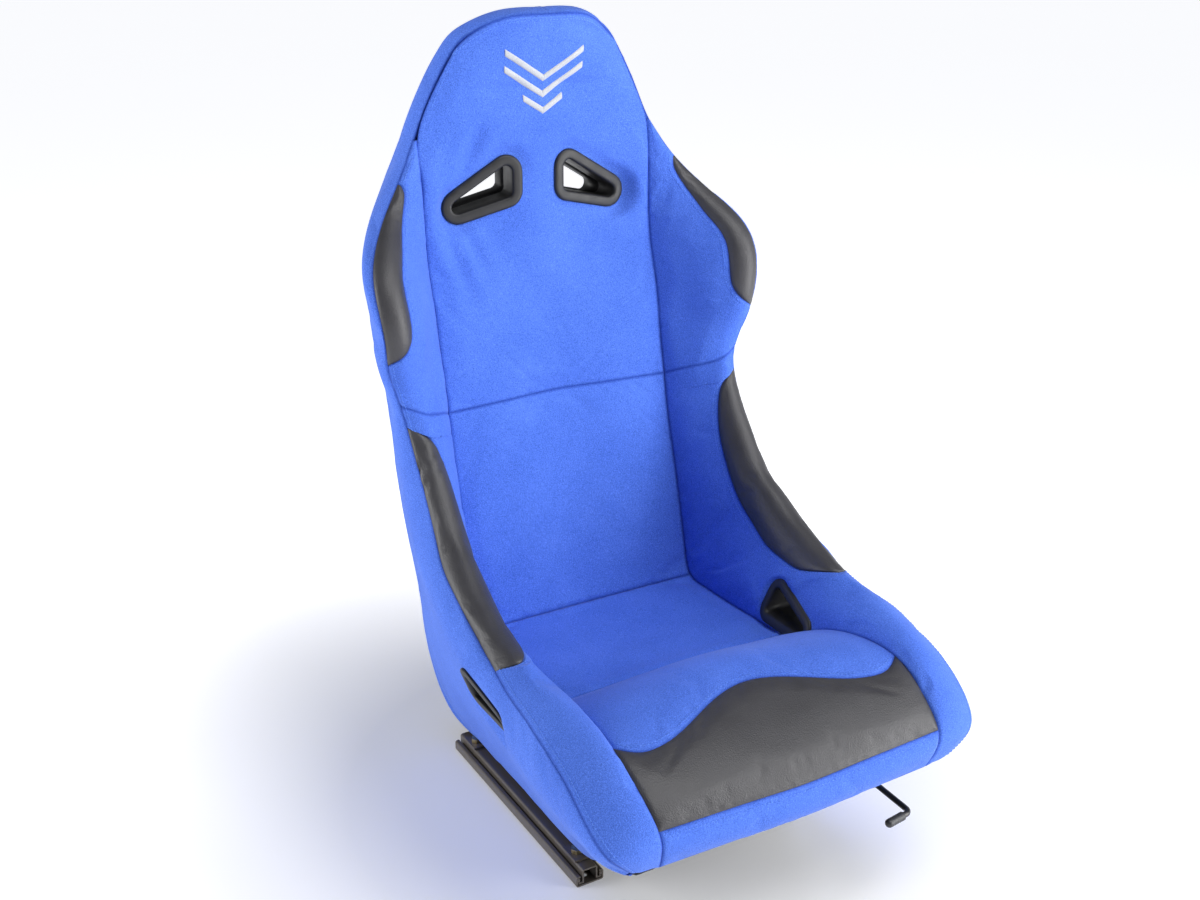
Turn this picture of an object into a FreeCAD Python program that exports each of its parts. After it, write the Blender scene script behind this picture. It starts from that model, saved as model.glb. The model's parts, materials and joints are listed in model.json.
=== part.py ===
# Fixed-back bucket racing seat on a pair of slider rails. Millimetres.
# Frame: +Z up from the floor, the seat faces -Y, +X is the release-lever side.
import FreeCAD, Part
import math
import os
from FreeCAD import Vector as V

os.makedirs("parts", exist_ok=True)

# ---------------------------------------------------------------- named sizes
SKIN = 3.0            # fabric or leatherette with its scrim foam
GAP = 0.4             # clearance kept between neighbouring soft pieces
FOAM_GAP = 2.5        # clearance at the edges of the foam pads
NECK_GAP = 1.1        # clearance beside the head, where the bolsters start narrow
RAIL_X = 140.0        # rail centre lines, 280 apart
RAIL_LEN = 331.0
RAIL_TOP = 22.0
FLOOR_HOLE_Y = 150.0  # M8 floor bolts
FLOOR_HOLE_R = 4.25
SEAT_BOLT_Y = 135.0   # M8 bolts from the cross straps into the upper rails
STRAP_TOP = 25.1
MEMBER_X = 110.0      # base members of the frame
MEMBER_Z = 35.4
HOOP_R = 12.5
TUBE_WALL = 1.5
SLOT_R = 8.0          # corner radius of the shoulder harness openings
SIDE_R = 6.0          # corner radius of the side harness openings
BEZEL_WALL = 3.0
BEZEL_RIM = 12.0
BEZEL_PLATE = 3.5
PIVOT = V(0, -95, 34)  # release lever pivot (y, z)

# Half outline of the seat, one row per station from the crown of the head down
# the back, round the seat corner and forward to the front lip.
# centre, inner seam, inner wall, ridge, outer seam, side bulge, rear edge, rear middle, rear centre
STATIONS = [
    ((0, 170, 943), (108, 199, 905), None, None, (110, 201, 904), (113, 221, 906), (95, 250, 898), None,
     (0, 246, 934)),
    ((0, 184, 868), (138, 204, 853), None, None, (140, 205, 853), (143, 225, 854), (122, 258, 855),
     (80, 266, 862), (0, 266, 866)),
    ((0, 195, 806), (157, 203, 806), (158.5, 203, 806), (160.5, 203, 806), (162, 204, 806), (165, 223, 806),
     (142, 263, 806), (95, 272, 806), (0, 266, 806)),
    ((0, 203, 765), (156, 197, 765), (166, 193, 765), (177, 188, 765), (188, 190, 764), (190, 212, 764),
     (160, 266, 765), (103, 274, 765), (0, 263, 765)),
    ((0, 206, 725), (155, 195, 725), (178, 180, 725), (201, 165, 725), (220, 165, 725), (223, 186, 725),
     (177, 265, 725), (106, 274, 725), (0, 262, 725)),
    ((0, 204, 685), (155, 193, 685), (185, 163, 688), (224, 122, 686), (252, 122, 682), (255, 143, 683),
     (186, 260, 685), (106, 270, 685), (0, 263, 685)),
    ((0, 198, 645), (155, 186, 645), (186, 150, 647), (226, 98, 644), (258, 96, 638), (261, 116, 639),
     (187, 250, 645), (106, 264, 645), (0, 262, 645)),
    ((0, 190, 605), (155, 174, 605), (186, 138, 606), (224, 90, 602), (254, 92, 598), (257, 112, 600),
     (185, 243, 605), (106, 257, 605), (0, 258, 605)),
    ((0, 181, 568), (155, 166, 568), (185, 136, 566), (221, 95, 564), (249, 98, 564), (252, 119, 565),
     (184, 238, 568), (106, 251, 568), (0, 253, 568)),
    ((0, 172, 530), (154, 158, 530), (181, 130, 528), (211, 100, 526), (236, 104, 524), (240, 126, 525),
     (186, 234, 530), (106, 245, 530), (0, 247, 530)),
    ((0, 163, 485), (154, 149, 485), (179, 118, 482), (206, 86, 480), (230, 92, 482), (235, 116, 482),
     (191, 226, 485), (106, 238, 485), (0, 241, 485)),
    ((0, 150, 428), (154, 137, 428), (178, 98, 430), (206, 54, 434), (230, 57, 427), (236, 84, 424),
     (197, 216, 428), (106, 230, 428), (0, 233, 428)),
    ((0, 135, 370), (155, 122, 370), (178, 76, 378), (206, 20, 392), (233, 21, 376), (240, 48, 368),
     (195, 209, 370), (106, 222, 370), (0, 226, 370)),
    ((0, 119, 310), (155, 106, 310), (178, 54, 326), (206, -10, 366), (237, -8, 354), (244, 14, 338),
     (188, 206, 306), (106, 217, 306), (0, 220, 306)),
    ((0, 102, 255), (155, 92, 255), (177, 34, 294), (206, -42, 343), (238, -43, 336), (246, -22, 316),
     (180, 206, 235), (106, 214, 235), (0, 216, 235)),
    ((0, 84, 219), (155, 78, 222), (173, 14, 268), (206, -70, 327), (238, -69, 323), (247, -52, 300),
     (171, 207, 136), (106, 212, 136), (0, 213, 136)),
    ((0, 45, 211), (156, 45, 217), (173, -12, 264), (206, -96, 317), (238, -90, 314), (248, -80, 287),
     (148, 200, 42), (104, 202, 42), (0, 202, 42)),
    ((0, -10, 209), (158, -10, 217), (174, -46, 264), (206, -122, 310), (239, -110, 306), (248, -104, 274),
     (139, 130, 28), (100, 130, 28), (0, 130, 28)),
    ((0, -62, 212), (161, -66, 218), (177, -84, 264), (206, -150, 304), (240, -136, 297), (248, -134, 262),
     (138, 20, 28), (100, 20, 28), (0, 20, 28)),
    ((0, -112, 221), (166, -118, 222), (182, -126, 264), (207, -182, 300), (244, -176, 288), (249, -176, 246),
     (138, -90, 28), (100, -90, 28), (0, -90, 28)),
    ((0, -165, 255), (173, -172, 250), (186, -178, 278), (209, -222, 298), (247, -222, 283), (250, -220, 236),
     (140, -162, 33), (100, -162, 33), (0, -162, 33)),
    ((0, -222, 281), (180, -232, 270), (190, -236, 286), (212, -262, 291), (248, -262, 272), (250, -258, 228),
     (150, -215, 66), (104, -215, 66), (0, -215, 66)),
    ((0, -285, 270), (185, -294, 271), (193, -297, 279), (214, -302, 278), (248, -302, 259), (249, -298, 220),
     (162, -265, 100), (110, -265, 100), (0, -265, 100)),
    ((0, -345, 243), (184, -342, 249), (193, -342, 254), (216, -342, 252), (247, -342, 234), (246, -336, 208),
     (176, -305, 126), (118, -305, 126), (0, -305, 126)),
    ((0, -378, 216), (181, -375, 220), (191, -375, 222), (213, -373, 220), (240, -367, 210), (236, -355, 194),
     (188, -333, 145), (126, -333, 145), (0, -333, 145)),
    ((0, -380, 190), (178, -376, 192), (188, -376, 194), (207, -375, 194), (226, -371, 193), (221, -362, 184),
     (196, -350, 157), (130, -350, 157), (0, -350, 157)),
    ((0, -369, 166), (174, -366, 168), (183, -366, 170), (196, -366, 171), (208, -363, 173), (206, -359, 169),
     (200, -355, 163), (134, -357, 161), (0, -358, 161)),
]
# the outer seam, bulge and rear edge carry on over the crown to the middle
CROWN = [
    ((0, 170, 943), (0, 192, 948), (0, 246, 934)),
    ((50, 175, 941), (51, 197, 945), (44, 247, 930)),
    ((86, 192, 926), (89, 213, 929), (77, 249, 916)),
]
# rows of the table by name
TOP, NECK, SLOT1, SLOT2, WING1 = 0, 2, 3, 4, 5
WAIST3, CORNER, BASE1, BASE4 = 10, 15, 16, 19
ROLL2, LIP2, LIP4 = 21, 24, 26
# how far the back panel is dished beside the centre, by row
DISH = {SLOT1: 9.0, SLOT2: 13.0, WING1: 10.0, 6: 6.0, 7: 3.0, NECK: 3.0}
SHOULDER_PATCH = (3.35, 7.7)   # rows between which the leather patches run
THIGH_PATCH = (9.6, 18.0)
BOLSTER_TOP = NECK + 0.3       # where the bolsters start to stand out beside the head


# ---------------------------------------------------------------- small helpers
def vec(p):
    return V(float(p[0]), float(p[1]), float(p[2]))


def mix(a, b, f):
    return a + (b - a) * f


def unit(v):
    return v * (1.0 / v.Length)


def mirror_point(p):
    return V(-p.x, p.y, p.z)


def column(k):
    return [vec(row[k]) if row[k] is not None else None for row in STATIONS]


def export(name, shape):
    if not shape.isValid():
        print("INVALID", name)
    shape.exportStep("parts/%s.step" % name)
    print("%-26s %9.1f cm3  solids %d" % (name, shape.Volume / 1000.0, len(shape.Solids)))


def group(shapes):
    return Part.makeCompound(shapes)


def mirrored(shape):
    return shape.mirror(V(0, 0, 0), V(1, 0, 0))


def both(shape):
    return group([shape, mirrored(shape)])


def box(x0, x1, y0, y1, z0, z1):
    return Part.makeBox(x1 - x0, y1 - y0, z1 - z0, V(x0, y0, z0))


def bent_path(points, bend):
    """Straight runs joined by tangent arcs, each at most as large as its two runs allow."""
    edges, last = [], points[0]
    for i in range(1, len(points) - 1):
        p, before, after = points[i], points[i - 1] - points[i], points[i + 1] - points[i]
        a, b = unit(before), unit(after)
        half = a.getAngle(b) / 2.0
        cut = min(bend / math.tan(half), 0.45 * min(before.Length, after.Length))
        radius = cut * math.tan(half)
        middle = p + unit(a + b) * (radius / math.sin(half) - radius)
        edges.append(Part.LineSegment(last, p + a * cut).toShape())
        edges.append(Part.Arc(p + a * cut, middle, p + b * cut).toShape())
        last = p + b * cut
    edges.append(Part.LineSegment(last, points[-1]).toShape())
    return Part.Wire(edges)


def bent_rod(points, r, bend):
    ring = Part.Wire([Part.Circle(points[0], points[1] - points[0], r).toShape()])
    rod = bent_path(points, bend).makePipeShell([ring], True, False)
    return rod


def bent_tube(points, r, bend):
    """A hollow tube; the bore is run a little past both ends so that it opens cleanly."""
    longer = [points[0] + unit(points[0] - points[1]) * 2] + points[1:-1]
    longer.append(points[-1] + unit(points[-1] - points[-2]) * 2)
    return bent_rod(points, r, bend).cut(bent_rod(longer, r - TUBE_WALL, bend))


def arched(right):
    """The points of the right half carried over to the left."""
    return right + [mirror_point(p) for p in right[::-1]]


def closed_solid(faces):
    shell = Part.makeShell(faces)
    shell.sewShape()
    solid = Part.makeSolid(shell.Shells[0] if shell.ShapeType != "Shell" else shell)
    if solid.Volume < 0:
        solid.reverse()
    return solid


# ---------------------------------------------------------------- seat surfaces
def smooth(points, first=0):
    """A curve through one point per row; its parameter is the row number."""
    curve = Part.BSplineCurve()
    curve.interpolate(Points=points, Parameters=[float(first + i) for i in range(len(points))])
    return curve


def strip(front, rear, t0, t1):
    """A solid between matching lists of front and rear curves, from row t0 to row t1."""
    n = len(front)
    loop = front + rear[::-1]
    edges = [c.toShape(t0, t1) for c in loop]
    faces = [Part.makeRuledSurface(edges[i], edges[(i + 1) % (2 * n)]) for i in range(2 * n)]
    for t in (t0, t1):
        f = [c.value(t) for c in front]
        r = [c.value(t) for c in rear]
        for i in range(n - 1):
            for tri in ((f[i], f[i + 1], r[i + 1]), (f[i], r[i + 1], r[i])):
                faces.append(Part.Face(Part.makePolygon(list(tri) + [tri[0]])))
    return closed_solid(faces)


def nudged(points, towards, d):
    return [p + unit(q - p) * d for p, q in zip(points, towards)]


def tangents(points):
    last = len(points) - 1
    return [points[min(i + 1, last)] - points[max(i - 1, 0)] for i in range(last + 1)]


def sunk(cols, depth, sign=1.0):
    """Every column moved in by depth, square to the two facets that meet there."""
    rows = range(len(cols[0]))
    along = [tangents(c) for c in cols]
    out = []
    for j, col in enumerate(cols):
        moved = []
        for i in rows:
            normals = []
            for a, b in ((j - 1, j), (j, j + 1)):
                if 0 <= a and b < len(cols):
                    n = (cols[b][i] - cols[a][i]).cross(along[j][i])
                    normals.append(unit(n) * sign)
            if len(normals) == 1:
                moved.append(col[i] + normals[0] * depth)
            else:
                s = normals[0] + normals[1]
                moved.append(col[i] + s * (depth / (1.0 + max(-0.4, normals[0].dot(normals[1])))))
        out.append(moved)
    return out


def curves(cols, first=0):
    return [smooth(c, first) for c in cols]


CENTRE, INNER, WALL, RIDGE, SEAM, BULGE, REAR, MIDREAR, REARC = [column(k) for k in range(9)]
MIDREAR[TOP] = vec(CROWN[2][2])
N = len(STATIONS)


def dished(fraction):
    """A line down the centre panel between its middle and the inner seam."""
    line = []
    for i in range(N):
        p = mix(CENTRE[i], INNER[i], fraction)
        p.y += DISH.get(i, 0.0) * math.sin(math.pi * fraction)
        line.append(p)
    line[TOP] = vec(CROWN[1][0]) if fraction < 0.5 else vec(CROWN[2][0]) + V(-1, -1, 0)
    return line


MID1, MID2 = dished(0.36), dished(0.68)


def full_width(half):
    """Columns listed from the middle outwards, turned into columns across the whole width."""
    return [[mirror_point(p) for p in c] for c in half[:0:-1]] + half


def core():
    """The middle of the bolster section, where its foam thins out and the side hoop runs."""
    return [None if WALL[i] is None else (INNER[i] + SEAM[i] + REAR[i]) * (1.0 / 3.0) for i in range(N)]


CORE = core()


def beyond_inner():
    """What lies just outside the inner seam: the bolster wall, or the side panel at the head."""
    return [BULGE[i] if WALL[i] is None else WALL[i] for i in range(N)]


def before_seam():
    """What lies just inside the outer seam, from the crown down: the head's front, then the ridge."""
    head = V(0, 195, 870)
    front = [mix(vec(c[0]), head, 0.2) for c in CROWN]
    return front + [mix(SEAM[i], head, 0.2) if RIDGE[i] is None else RIDGE[i] for i in range(N)]


def mitred(cols, depth, first, last):
    """Columns sunk as part of the wider skin, so that neighbouring panels meet on a mitre."""
    return sunk([first] + cols + [last], depth)[1:-1]


# ---------------------------------------------------------------- covers
def centre_cols():
    edge = nudged(INNER, CENTRE, GAP)
    return full_width([CENTRE, MID1, MID2, edge])


def centre_sunk(cols, depth):
    beyond = beyond_inner()
    return mitred(cols, depth, [mirror_point(p) for p in beyond], beyond)


def centre_cover(t0, t1):
    cols = centre_cols()
    return strip(curves(cols), curves(centre_sunk(cols, SKIN)), t0, t1)


def bolster_cols(i0=NECK):
    gaps = [NECK_GAP if i <= SLOT1 else GAP / 2 for i in range(i0, N)]
    a = [p + unit(w - p) * gap for p, w, gap in zip(INNER[i0:], WALL[i0:], gaps)]
    e = nudged(SEAM[i0:], RIDGE[i0:], GAP / 2)
    w, r = WALL[i0:], RIDGE[i0:]
    p = [mix(r[k], w[k], 0.3) for k in range(len(r))]
    return [a, w, p, r, e]


def bolster_sunk(cols, depth):
    return mitred(cols, depth, MID2[NECK:], BULGE[NECK:])


def bolster_pieces():
    """Blue cover of one bolster and its two leather patches."""
    cols = bolster_cols()
    split = bolster_sunk(cols, SKIN)
    front, rear = curves(cols, NECK), curves(split, NECK)
    p_out = nudged(cols[2], cols[3], GAP)
    p_in = nudged(split[2], split[3], GAP)
    edge_front, edge_rear = [smooth(p_out, NECK)] + front[3:], [smooth(p_in, NECK)] + rear[3:]
    blue = [strip(front[:3], rear[:3], BOLSTER_TOP, LIP4)]
    cuts = [BOLSTER_TOP, SHOULDER_PATCH[0], SHOULDER_PATCH[1], THIGH_PATCH[0], THIGH_PATCH[1], LIP4]
    pieces = [strip(edge_front, edge_rear, cuts[i] + (0.006 if i else 0), cuts[i + 1]) for i in range(5)]
    return blue + [pieces[0], pieces[2], pieces[4]], pieces[1], pieces[3]


def side_cols():
    e = [vec(c[0]) for c in CROWN] + SEAM
    s = [vec(c[1]) for c in CROWN] + BULGE
    b = [vec(c[2]) for c in CROWN] + REAR
    return [nudged(e, s, GAP / 2 + 0.6), s, nudged(b, s, GAP / 2 + 0.6)]


def side_cover():
    cols = side_cols()
    rear = [vec(c[2]) for c in CROWN] + MIDREAR
    inside = [p + V(0, 0, -20) for p in rear[:len(CROWN)]] + rear[len(CROWN):]
    inner = mitred(cols, SKIN, before_seam(), inside)
    return strip(curves(cols, -len(CROWN)), curves(inner, -len(CROWN)), -len(CROWN) + 0.01, LIP4)


def rear_cols():
    edge = nudged(REAR, MIDREAR, GAP + SKIN * 0.9)
    return full_width([REARC, MIDREAR, edge])


def rear_cover(t0, t1):
    cols = rear_cols()
    return strip(curves(cols), curves(sunk(cols, SKIN, -1.0)), t0, t1)


# ---------------------------------------------------------------- foams
def centre_foam(t0, t1, depth):
    a = nudged(INNER, CENTRE, FOAM_GAP)
    cols = full_width([CENTRE, MID1, MID2, a])
    front = centre_sunk(cols, SKIN + GAP)
    rear_half = [REARC, [mix(REARC[i], MIDREAR[i], 0.5) for i in range(N)], MIDREAR, REAR]
    targets = full_width(rear_half)
    rear = [[mix(f, b, depth) for f, b in zip(fc, bc)] for fc, bc in zip(front, targets)]
    return strip(curves(front), curves(rear), t0, t1)


def bolster_foam(t0, t1):
    front = bolster_sunk(bolster_cols(), SKIN + GAP)
    front[0] = nudged(front[0], front[1], FOAM_GAP)
    front[-1] = nudged(front[-1], front[-2], FOAM_GAP)
    core_line = CORE[NECK:]
    rear = [[mix(f, c, 0.42) for f, c in zip(fc, core_line)] for fc in front]
    return strip(curves(front, NECK), curves(rear, NECK), t0, t1)


# ---------------------------------------------------------------- harness openings
def rounded_plate(centres, r, thick):
    """The hull of equal circles, as a plate in local XZ, thick along +Y."""
    n = len(centres)
    edges = []
    for i in range(n):
        a, b = centres[i], centres[(i + 1) % n]
        d = unit(V(b[0] - a[0], 0, b[1] - a[1]))
        out = V(d.z, 0, -d.x)
        c = centres[(i + 2) % n]
        e = unit(V(c[0] - b[0], 0, c[1] - b[1]))
        out2 = V(e.z, 0, -e.x)
        bv = V(b[0], 0, b[1])
        edges.append(Part.LineSegment(V(a[0], 0, a[1]) + out * r, bv + out * r).toShape())
        edges.append(Part.Arc(bv + out * r, bv + unit(out + out2) * r, bv + out2 * r).toShape())
    return Part.Face(Part.Wire(edges)).extrude(V(0, thick, 0))


def placed(shape, origin, turn_z=0.0, turn_first=0.0):
    """Turn about the local X or Z, then move to the origin."""
    s = shape.copy()
    s.rotate(V(0, 0, 0), V(1, 0, 0), turn_first)
    s.rotate(V(0, 0, 0), V(0, 0, 1), turn_z)
    s.translate(origin)
    return s


SHOULDER = [(-27.0, 15.5), (-27.0, -7.0), (35.0, -22.0)]      # circle centres round (70, 742)
SHOULDER_AT, SHOULDER_TURN, SHOULDER_DEPTH = V(70, 207.0, 742), 6.5, 62.0
SIDE = [(26.0, 13.0), (-32.0, -8.0), (29.0, -8.0)]            # local x runs to the rear, z up
SIDE_AT, SIDE_DEPTH = V(172, -113, 248), 66.0
SIDE_LEAN = 22.0                              # lean of the side flanges from upright, degrees
SIDE_IN_X, SIDE_OUT_X = 171.0, 241.0          # where the flange faces cross the height of SIDE_AT
SIDE_RIM = BEZEL_RIM - 2.0
ROOM = 0.5                                    # clearance round the bezels
FAR = 110.0                                   # well past the seat's skin


def shoulder_prism(grow, y0, y1):
    return placed(rounded_plate(SHOULDER, SLOT_R + grow, y1 - y0), SHOULDER_AT
                  + V(-math.sin(math.radians(SHOULDER_TURN)), math.cos(math.radians(SHOULDER_TURN)), 0) * y0,
                  SHOULDER_TURN)


def side_prism(grow, x0, x1):
    """Local +Y becomes +X outwards, local +X becomes +Y to the rear."""
    plate = rounded_plate([(-c[0], c[1]) for c in SIDE][::-1], SIDE_R + grow, x1 - x0)
    s = plate.copy()
    s.rotate(V(0, 0, 0), V(0, 0, 1), -90)
    s.translate(SIDE_AT + V(x0, 0, 0))
    return s


def shoulder_bezels():
    half = SHOULDER_DEPTH / 2
    hole = shoulder_prism(0, -20, SHOULDER_DEPTH + 20)
    front = shoulder_prism(BEZEL_RIM, -BEZEL_PLATE, 0).fuse(shoulder_prism(BEZEL_WALL, 0, half - 0.15)).cut(hole)
    rear = shoulder_prism(BEZEL_RIM, SHOULDER_DEPTH, SHOULDER_DEPTH + BEZEL_PLATE)
    rear = rear.fuse(shoulder_prism(BEZEL_WALL, half + 0.15, SHOULDER_DEPTH)).cut(hole)
    return both(front), both(rear)


def side_bezels():
    """Flanges lean with the bolster walls; the sleeves run straight through along X."""
    half = SIDE_DEPTH / 2
    hole = side_prism(0, -40, SIDE_DEPTH + 40)
    sleeve_in = side_prism(BEZEL_WALL, -10, half - 0.15)
    sleeve_out = side_prism(BEZEL_WALL, half + 0.15, SIDE_DEPTH + 10)
    inner = slanted(sleeve_in, side_prism(SIDE_RIM, -40, 60), SIDE_IN_X, -1).cut(hole)
    outer = slanted(sleeve_out, side_prism(SIDE_RIM, 0, SIDE_DEPTH + 40), SIDE_OUT_X, 1).cut(hole)
    return both(inner), both(outer)


def slab(x, thick, outward):
    """A big leaning plate whose inner face crosses (x, SIDE_AT.z)."""
    plate = Part.makeBox(thick, 300, 300, V(0 if outward > 0 else -thick, -150, -150))
    plate.rotate(V(0, 0, 0), V(0, 1, 0), SIDE_LEAN)
    plate.translate(V(x, SIDE_AT.y, SIDE_AT.z))
    return plate


def slanted(sleeve, wide, x, outward):
    """A sleeve ended on a leaning plane, with a flange plate lying on that plane."""
    flange = wide.common(slab(x, BEZEL_PLATE, outward))
    return sleeve.cut(slab(x, FAR, outward)).fuse(flange)


def shoulder_room():
    """What the covers and foams leave free for the shoulder bezels and belts."""
    room = [shoulder_prism(BEZEL_WALL + ROOM, -30, FAR), shoulder_prism(BEZEL_RIM + ROOM, -30, ROOM),
            shoulder_prism(BEZEL_RIM + ROOM, SHOULDER_DEPTH - ROOM, FAR)]
    return room + [mirrored(s) for s in room]


def side_room():
    """The same for the right side bezels: the sleeve, and all beyond each flange."""
    wide = side_prism(SIDE_RIM + ROOM, -60, FAR)
    return [side_prism(BEZEL_WALL + ROOM, -60, FAR), wide.common(slab(SIDE_IN_X + ROOM, FAR, -1)),
            wide.common(slab(SIDE_OUT_X - ROOM, FAR, 1))]


# ---------------------------------------------------------------- rails
def rail_section(points, y0=-RAIL_LEN / 2, length=RAIL_LEN):
    wire = Part.makePolygon([V(RAIL_X + x, y0, z) for x, z in points + [points[0]]])
    return Part.Face(wire).extrude(V(0, length, 0))


def bends(rail, corners, r):
    """Rounds the long edges that pass through the given section corners, on both sides."""
    spots = [(RAIL_X + side * x, z) for x, z in corners for side in (-1, 1)]
    long_edges = [e for e in rail.Edges if abs(e.Length - RAIL_LEN) < 0.1]
    at = [e for e in long_edges if any(abs(e.CenterOfMass.x - x) + abs(e.CenterOfMass.z - z) < 0.1 for x, z in spots)]
    return rail.makeFillet(r, at)


def lower_rail(notched):
    rail = rail_section([(-18, 0), (18, 0), (18, 14), (12.5, 14), (12.5, 12), (16, 12), (16, 2), (-16, 2),
                         (-16, 12), (-12.5, 12), (-12.5, 14), (-18, 14)])
    rail = bends(bends(rail, [(18, 0), (18, 14)], 2.9), [(16, 2), (16, 12)], 0.9)
    for y in (-FLOOR_HOLE_Y, FLOOR_HOLE_Y):
        rail = rail.cut(Part.makeCylinder(FLOOR_HOLE_R, 4, V(RAIL_X, y, -1)))
    if notched:
        for i in range(11):
            y = -150 + 12 * i
            rail = rail.cut(box(RAIL_X + 12.3, RAIL_X + 15.6, y - 3, y + 3, 11.9, 14.1))
    return rail


def upper_rail():
    rail = rail_section([(-10, 22), (10, 22), (10, 6), (15, 6), (15, 4), (8, 4), (8, 20), (-8, 20), (-8, 4),
                         (-15, 4), (-15, 6), (-10, 6)])
    rail = bends(bends(rail, [(10, 22)], 2.9), [(8, 20)], 0.9)
    for y in (-SEAT_BOLT_Y, SEAT_BOLT_Y):
        rail = rail.cut(Part.makeCylinder(4.2, 6, V(RAIL_X, y, 18)))
    return rail


def rail_balls():
    balls = []
    for side in (-1, 1):
        for y in (-106, -94, -82, 82, 94, 106):
            balls.append(Part.makeSphere(2.95, V(RAIL_X + 13 * side, y, 9)))
    return balls


def rail_rollers():
    return [Part.makeCylinder(8.95, 14, V(RAIL_X - 7, y, 11), V(1, 0, 0)) for y in (-70, 70)]


def rail_stops():
    stops = []
    for y in (-165.3, 161.3):
        for x0 in (-15.95, 12.8):
            stops.append(box(RAIL_X + x0, RAIL_X + x0 + 3.15, y, y + 4, 6.4, 10.8))
    return stops


def hexagon(r, height, at):
    """A hexagonal prism; r is half the distance across flats."""
    c = r / math.cos(math.pi / 6)
    pts = [at + V(c * math.cos(math.pi / 3 * k), c * math.sin(math.pi / 3 * k), 0) for k in range(7)]
    return Part.Face(Part.makePolygon(pts)).extrude(V(0, 0, height))


def cross_strap(y):
    strap = box(-151, 151, y - 15, y + 15, RAIL_TOP + 0.1, STRAP_TOP)
    for x in (-RAIL_X, RAIL_X):
        strap = strap.cut(Part.makeCylinder(4.2, 8, V(x, y, 20)))
    for x in (-MEMBER_X + 5, MEMBER_X - 5):
        strap = strap.cut(Part.makeCylinder(3.3, 8, V(x, y, 20)))
    return strap


def rail_bolt(x, y):
    head = hexagon(6.5, 5.3, V(x, y, STRAP_TOP + 0.05))
    shank = Part.makeCylinder(3.95, STRAP_TOP - 11.9, V(x, y, 12.0))
    return head.fuse(shank)


def weld_nut(x, y):
    return hexagon(6.5, 6.3, V(x, y, 13.6)).cut(Part.makeCylinder(4.0, 8, V(x, y, 13)))


def frame_screw(x, y):
    head = Part.makeCylinder(5.5, 4.0, V(x, y, 18.0))
    shank = Part.makeCylinder(2.95, 19.0, V(x, y, 21.9))
    return head.fuse(shank)


# ---------------------------------------------------------------- release lever
def lever_bracket():
    foot = box(139.5, 150.5, -107, -83, RAIL_TOP + 0.05, 24.2)
    leg = box(148.5, 150.5, -107, -83, RAIL_TOP + 0.05, 42)
    return foot.fuse(leg).cut(Part.makeCylinder(3.02, 8, V(146, PIVOT.y, PIVOT.z), V(1, 0, 0)))


def lever_pin():
    pin = Part.makeCylinder(3.0, 14.5, V(147.0, PIVOT.y, PIVOT.z), V(1, 0, 0))
    head = Part.makeCylinder(4.5, 1.2, V(161.5, PIVOT.y, PIVOT.z), V(1, 0, 0))
    return pin.fuse(head)


def latch_plate():
    pts = [(-88, 27), (-86, 34), (-89, 41), (-100, 42), (-148, 40), (-152, 36), (-152, 21), (-148, 20), (-104, 24)]
    wire = Part.makePolygon([V(152.9, y, z) for y, z in pts + [pts[0]]])
    plate = Part.Face(wire).extrude(V(2.5, 0, 0))
    for k in range(3):
        y = -150 + 12 * k
        plate = plate.fuse(box(152.9, 155.4, y - 2.4, y + 2.4, 14.5, 26))
    return plate.cut(Part.makeCylinder(3.06, 8, V(150, PIVOT.y, PIVOT.z), V(1, 0, 0)))


def lever_rod():
    x = 155.45 + 3.5
    path = [V(x, -112, 33), V(x, -205, 33), V(173, -292, 103), V(170, -354, 104), V(134.5, -358.8, 104)]
    return bent_rod(path, 3.5, 9.0)


def lever_grip():
    end, back = V(131, -359.3, 104), V(158.5, -355.6, 104)
    body = Part.makeCylinder(5.2, (end - back).Length, back, end - back)
    return body.cut(Part.makeCylinder(3.6, (end - back).Length - 3, back, end - back))


def lever_spring():
    turns = [V(156.3 + 0.34 * a / math.pi * 2, PIVOT.y + 4.4 * math.cos(a), PIVOT.z + 4.4 * math.sin(a))
             for a in [math.pi / 4 * k for k in range(25)]]
    coil = Part.BSplineCurve()
    coil.interpolate(turns)
    ring = Part.Wire([Part.Circle(turns[0], coil.tangent(coil.FirstParameter)[0], 0.6).toShape()])
    return Part.Wire([coil.toShape()]).makePipeShell([ring], True, False)


# ---------------------------------------------------------------- frame
def base_member():
    x, y0, y1 = MEMBER_X, -146.0, 178.0
    outer = box(x - 15, x + 15, y0, y1, MEMBER_Z, MEMBER_Z + 20)
    inner = box(x - 13, x + 13, y0 - 1, y1 + 1, MEMBER_Z + 2, MEMBER_Z + 18)
    member = outer.cut(inner)
    for y in (-SEAT_BOLT_Y, SEAT_BOLT_Y):
        member = member.cut(Part.makeCylinder(3.3, 12, V(x - 5, y, MEMBER_Z - 4)))
    return member


def back_hoop():
    """One bent tube: up from the base members, round the back and over the head."""
    z0 = MEMBER_Z + 20.2
    return bent_tube(arched([V(110, 168, z0), V(110, 168, 84), V(154, 186, 168), V(165, 188, 306),
                             V(172, 198, 428), V(161, 221, 590), V(162, 239, 685), V(118, 244, 806),
                             V(96, 239, 852), V(52, 236, 897)]), HOOP_R, 90)


def cross_tube(y, z, half, r):
    bar = Part.makeCylinder(r, 2 * half, V(-half, y, z), V(1, 0, 0))
    return bar.cut(Part.makeCylinder(r - TUBE_WALL, 2 * half, V(-half, y, z), V(1, 0, 0)))


def front_frame():
    """The bent tube under the front edge of the cushion."""
    z0 = MEMBER_Z + 20.2
    return bent_tube(arched([V(110, -134, z0), V(110, -134, 76), V(118, -286, 148), V(100, -334, 170)]), 10.0, 40)


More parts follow.
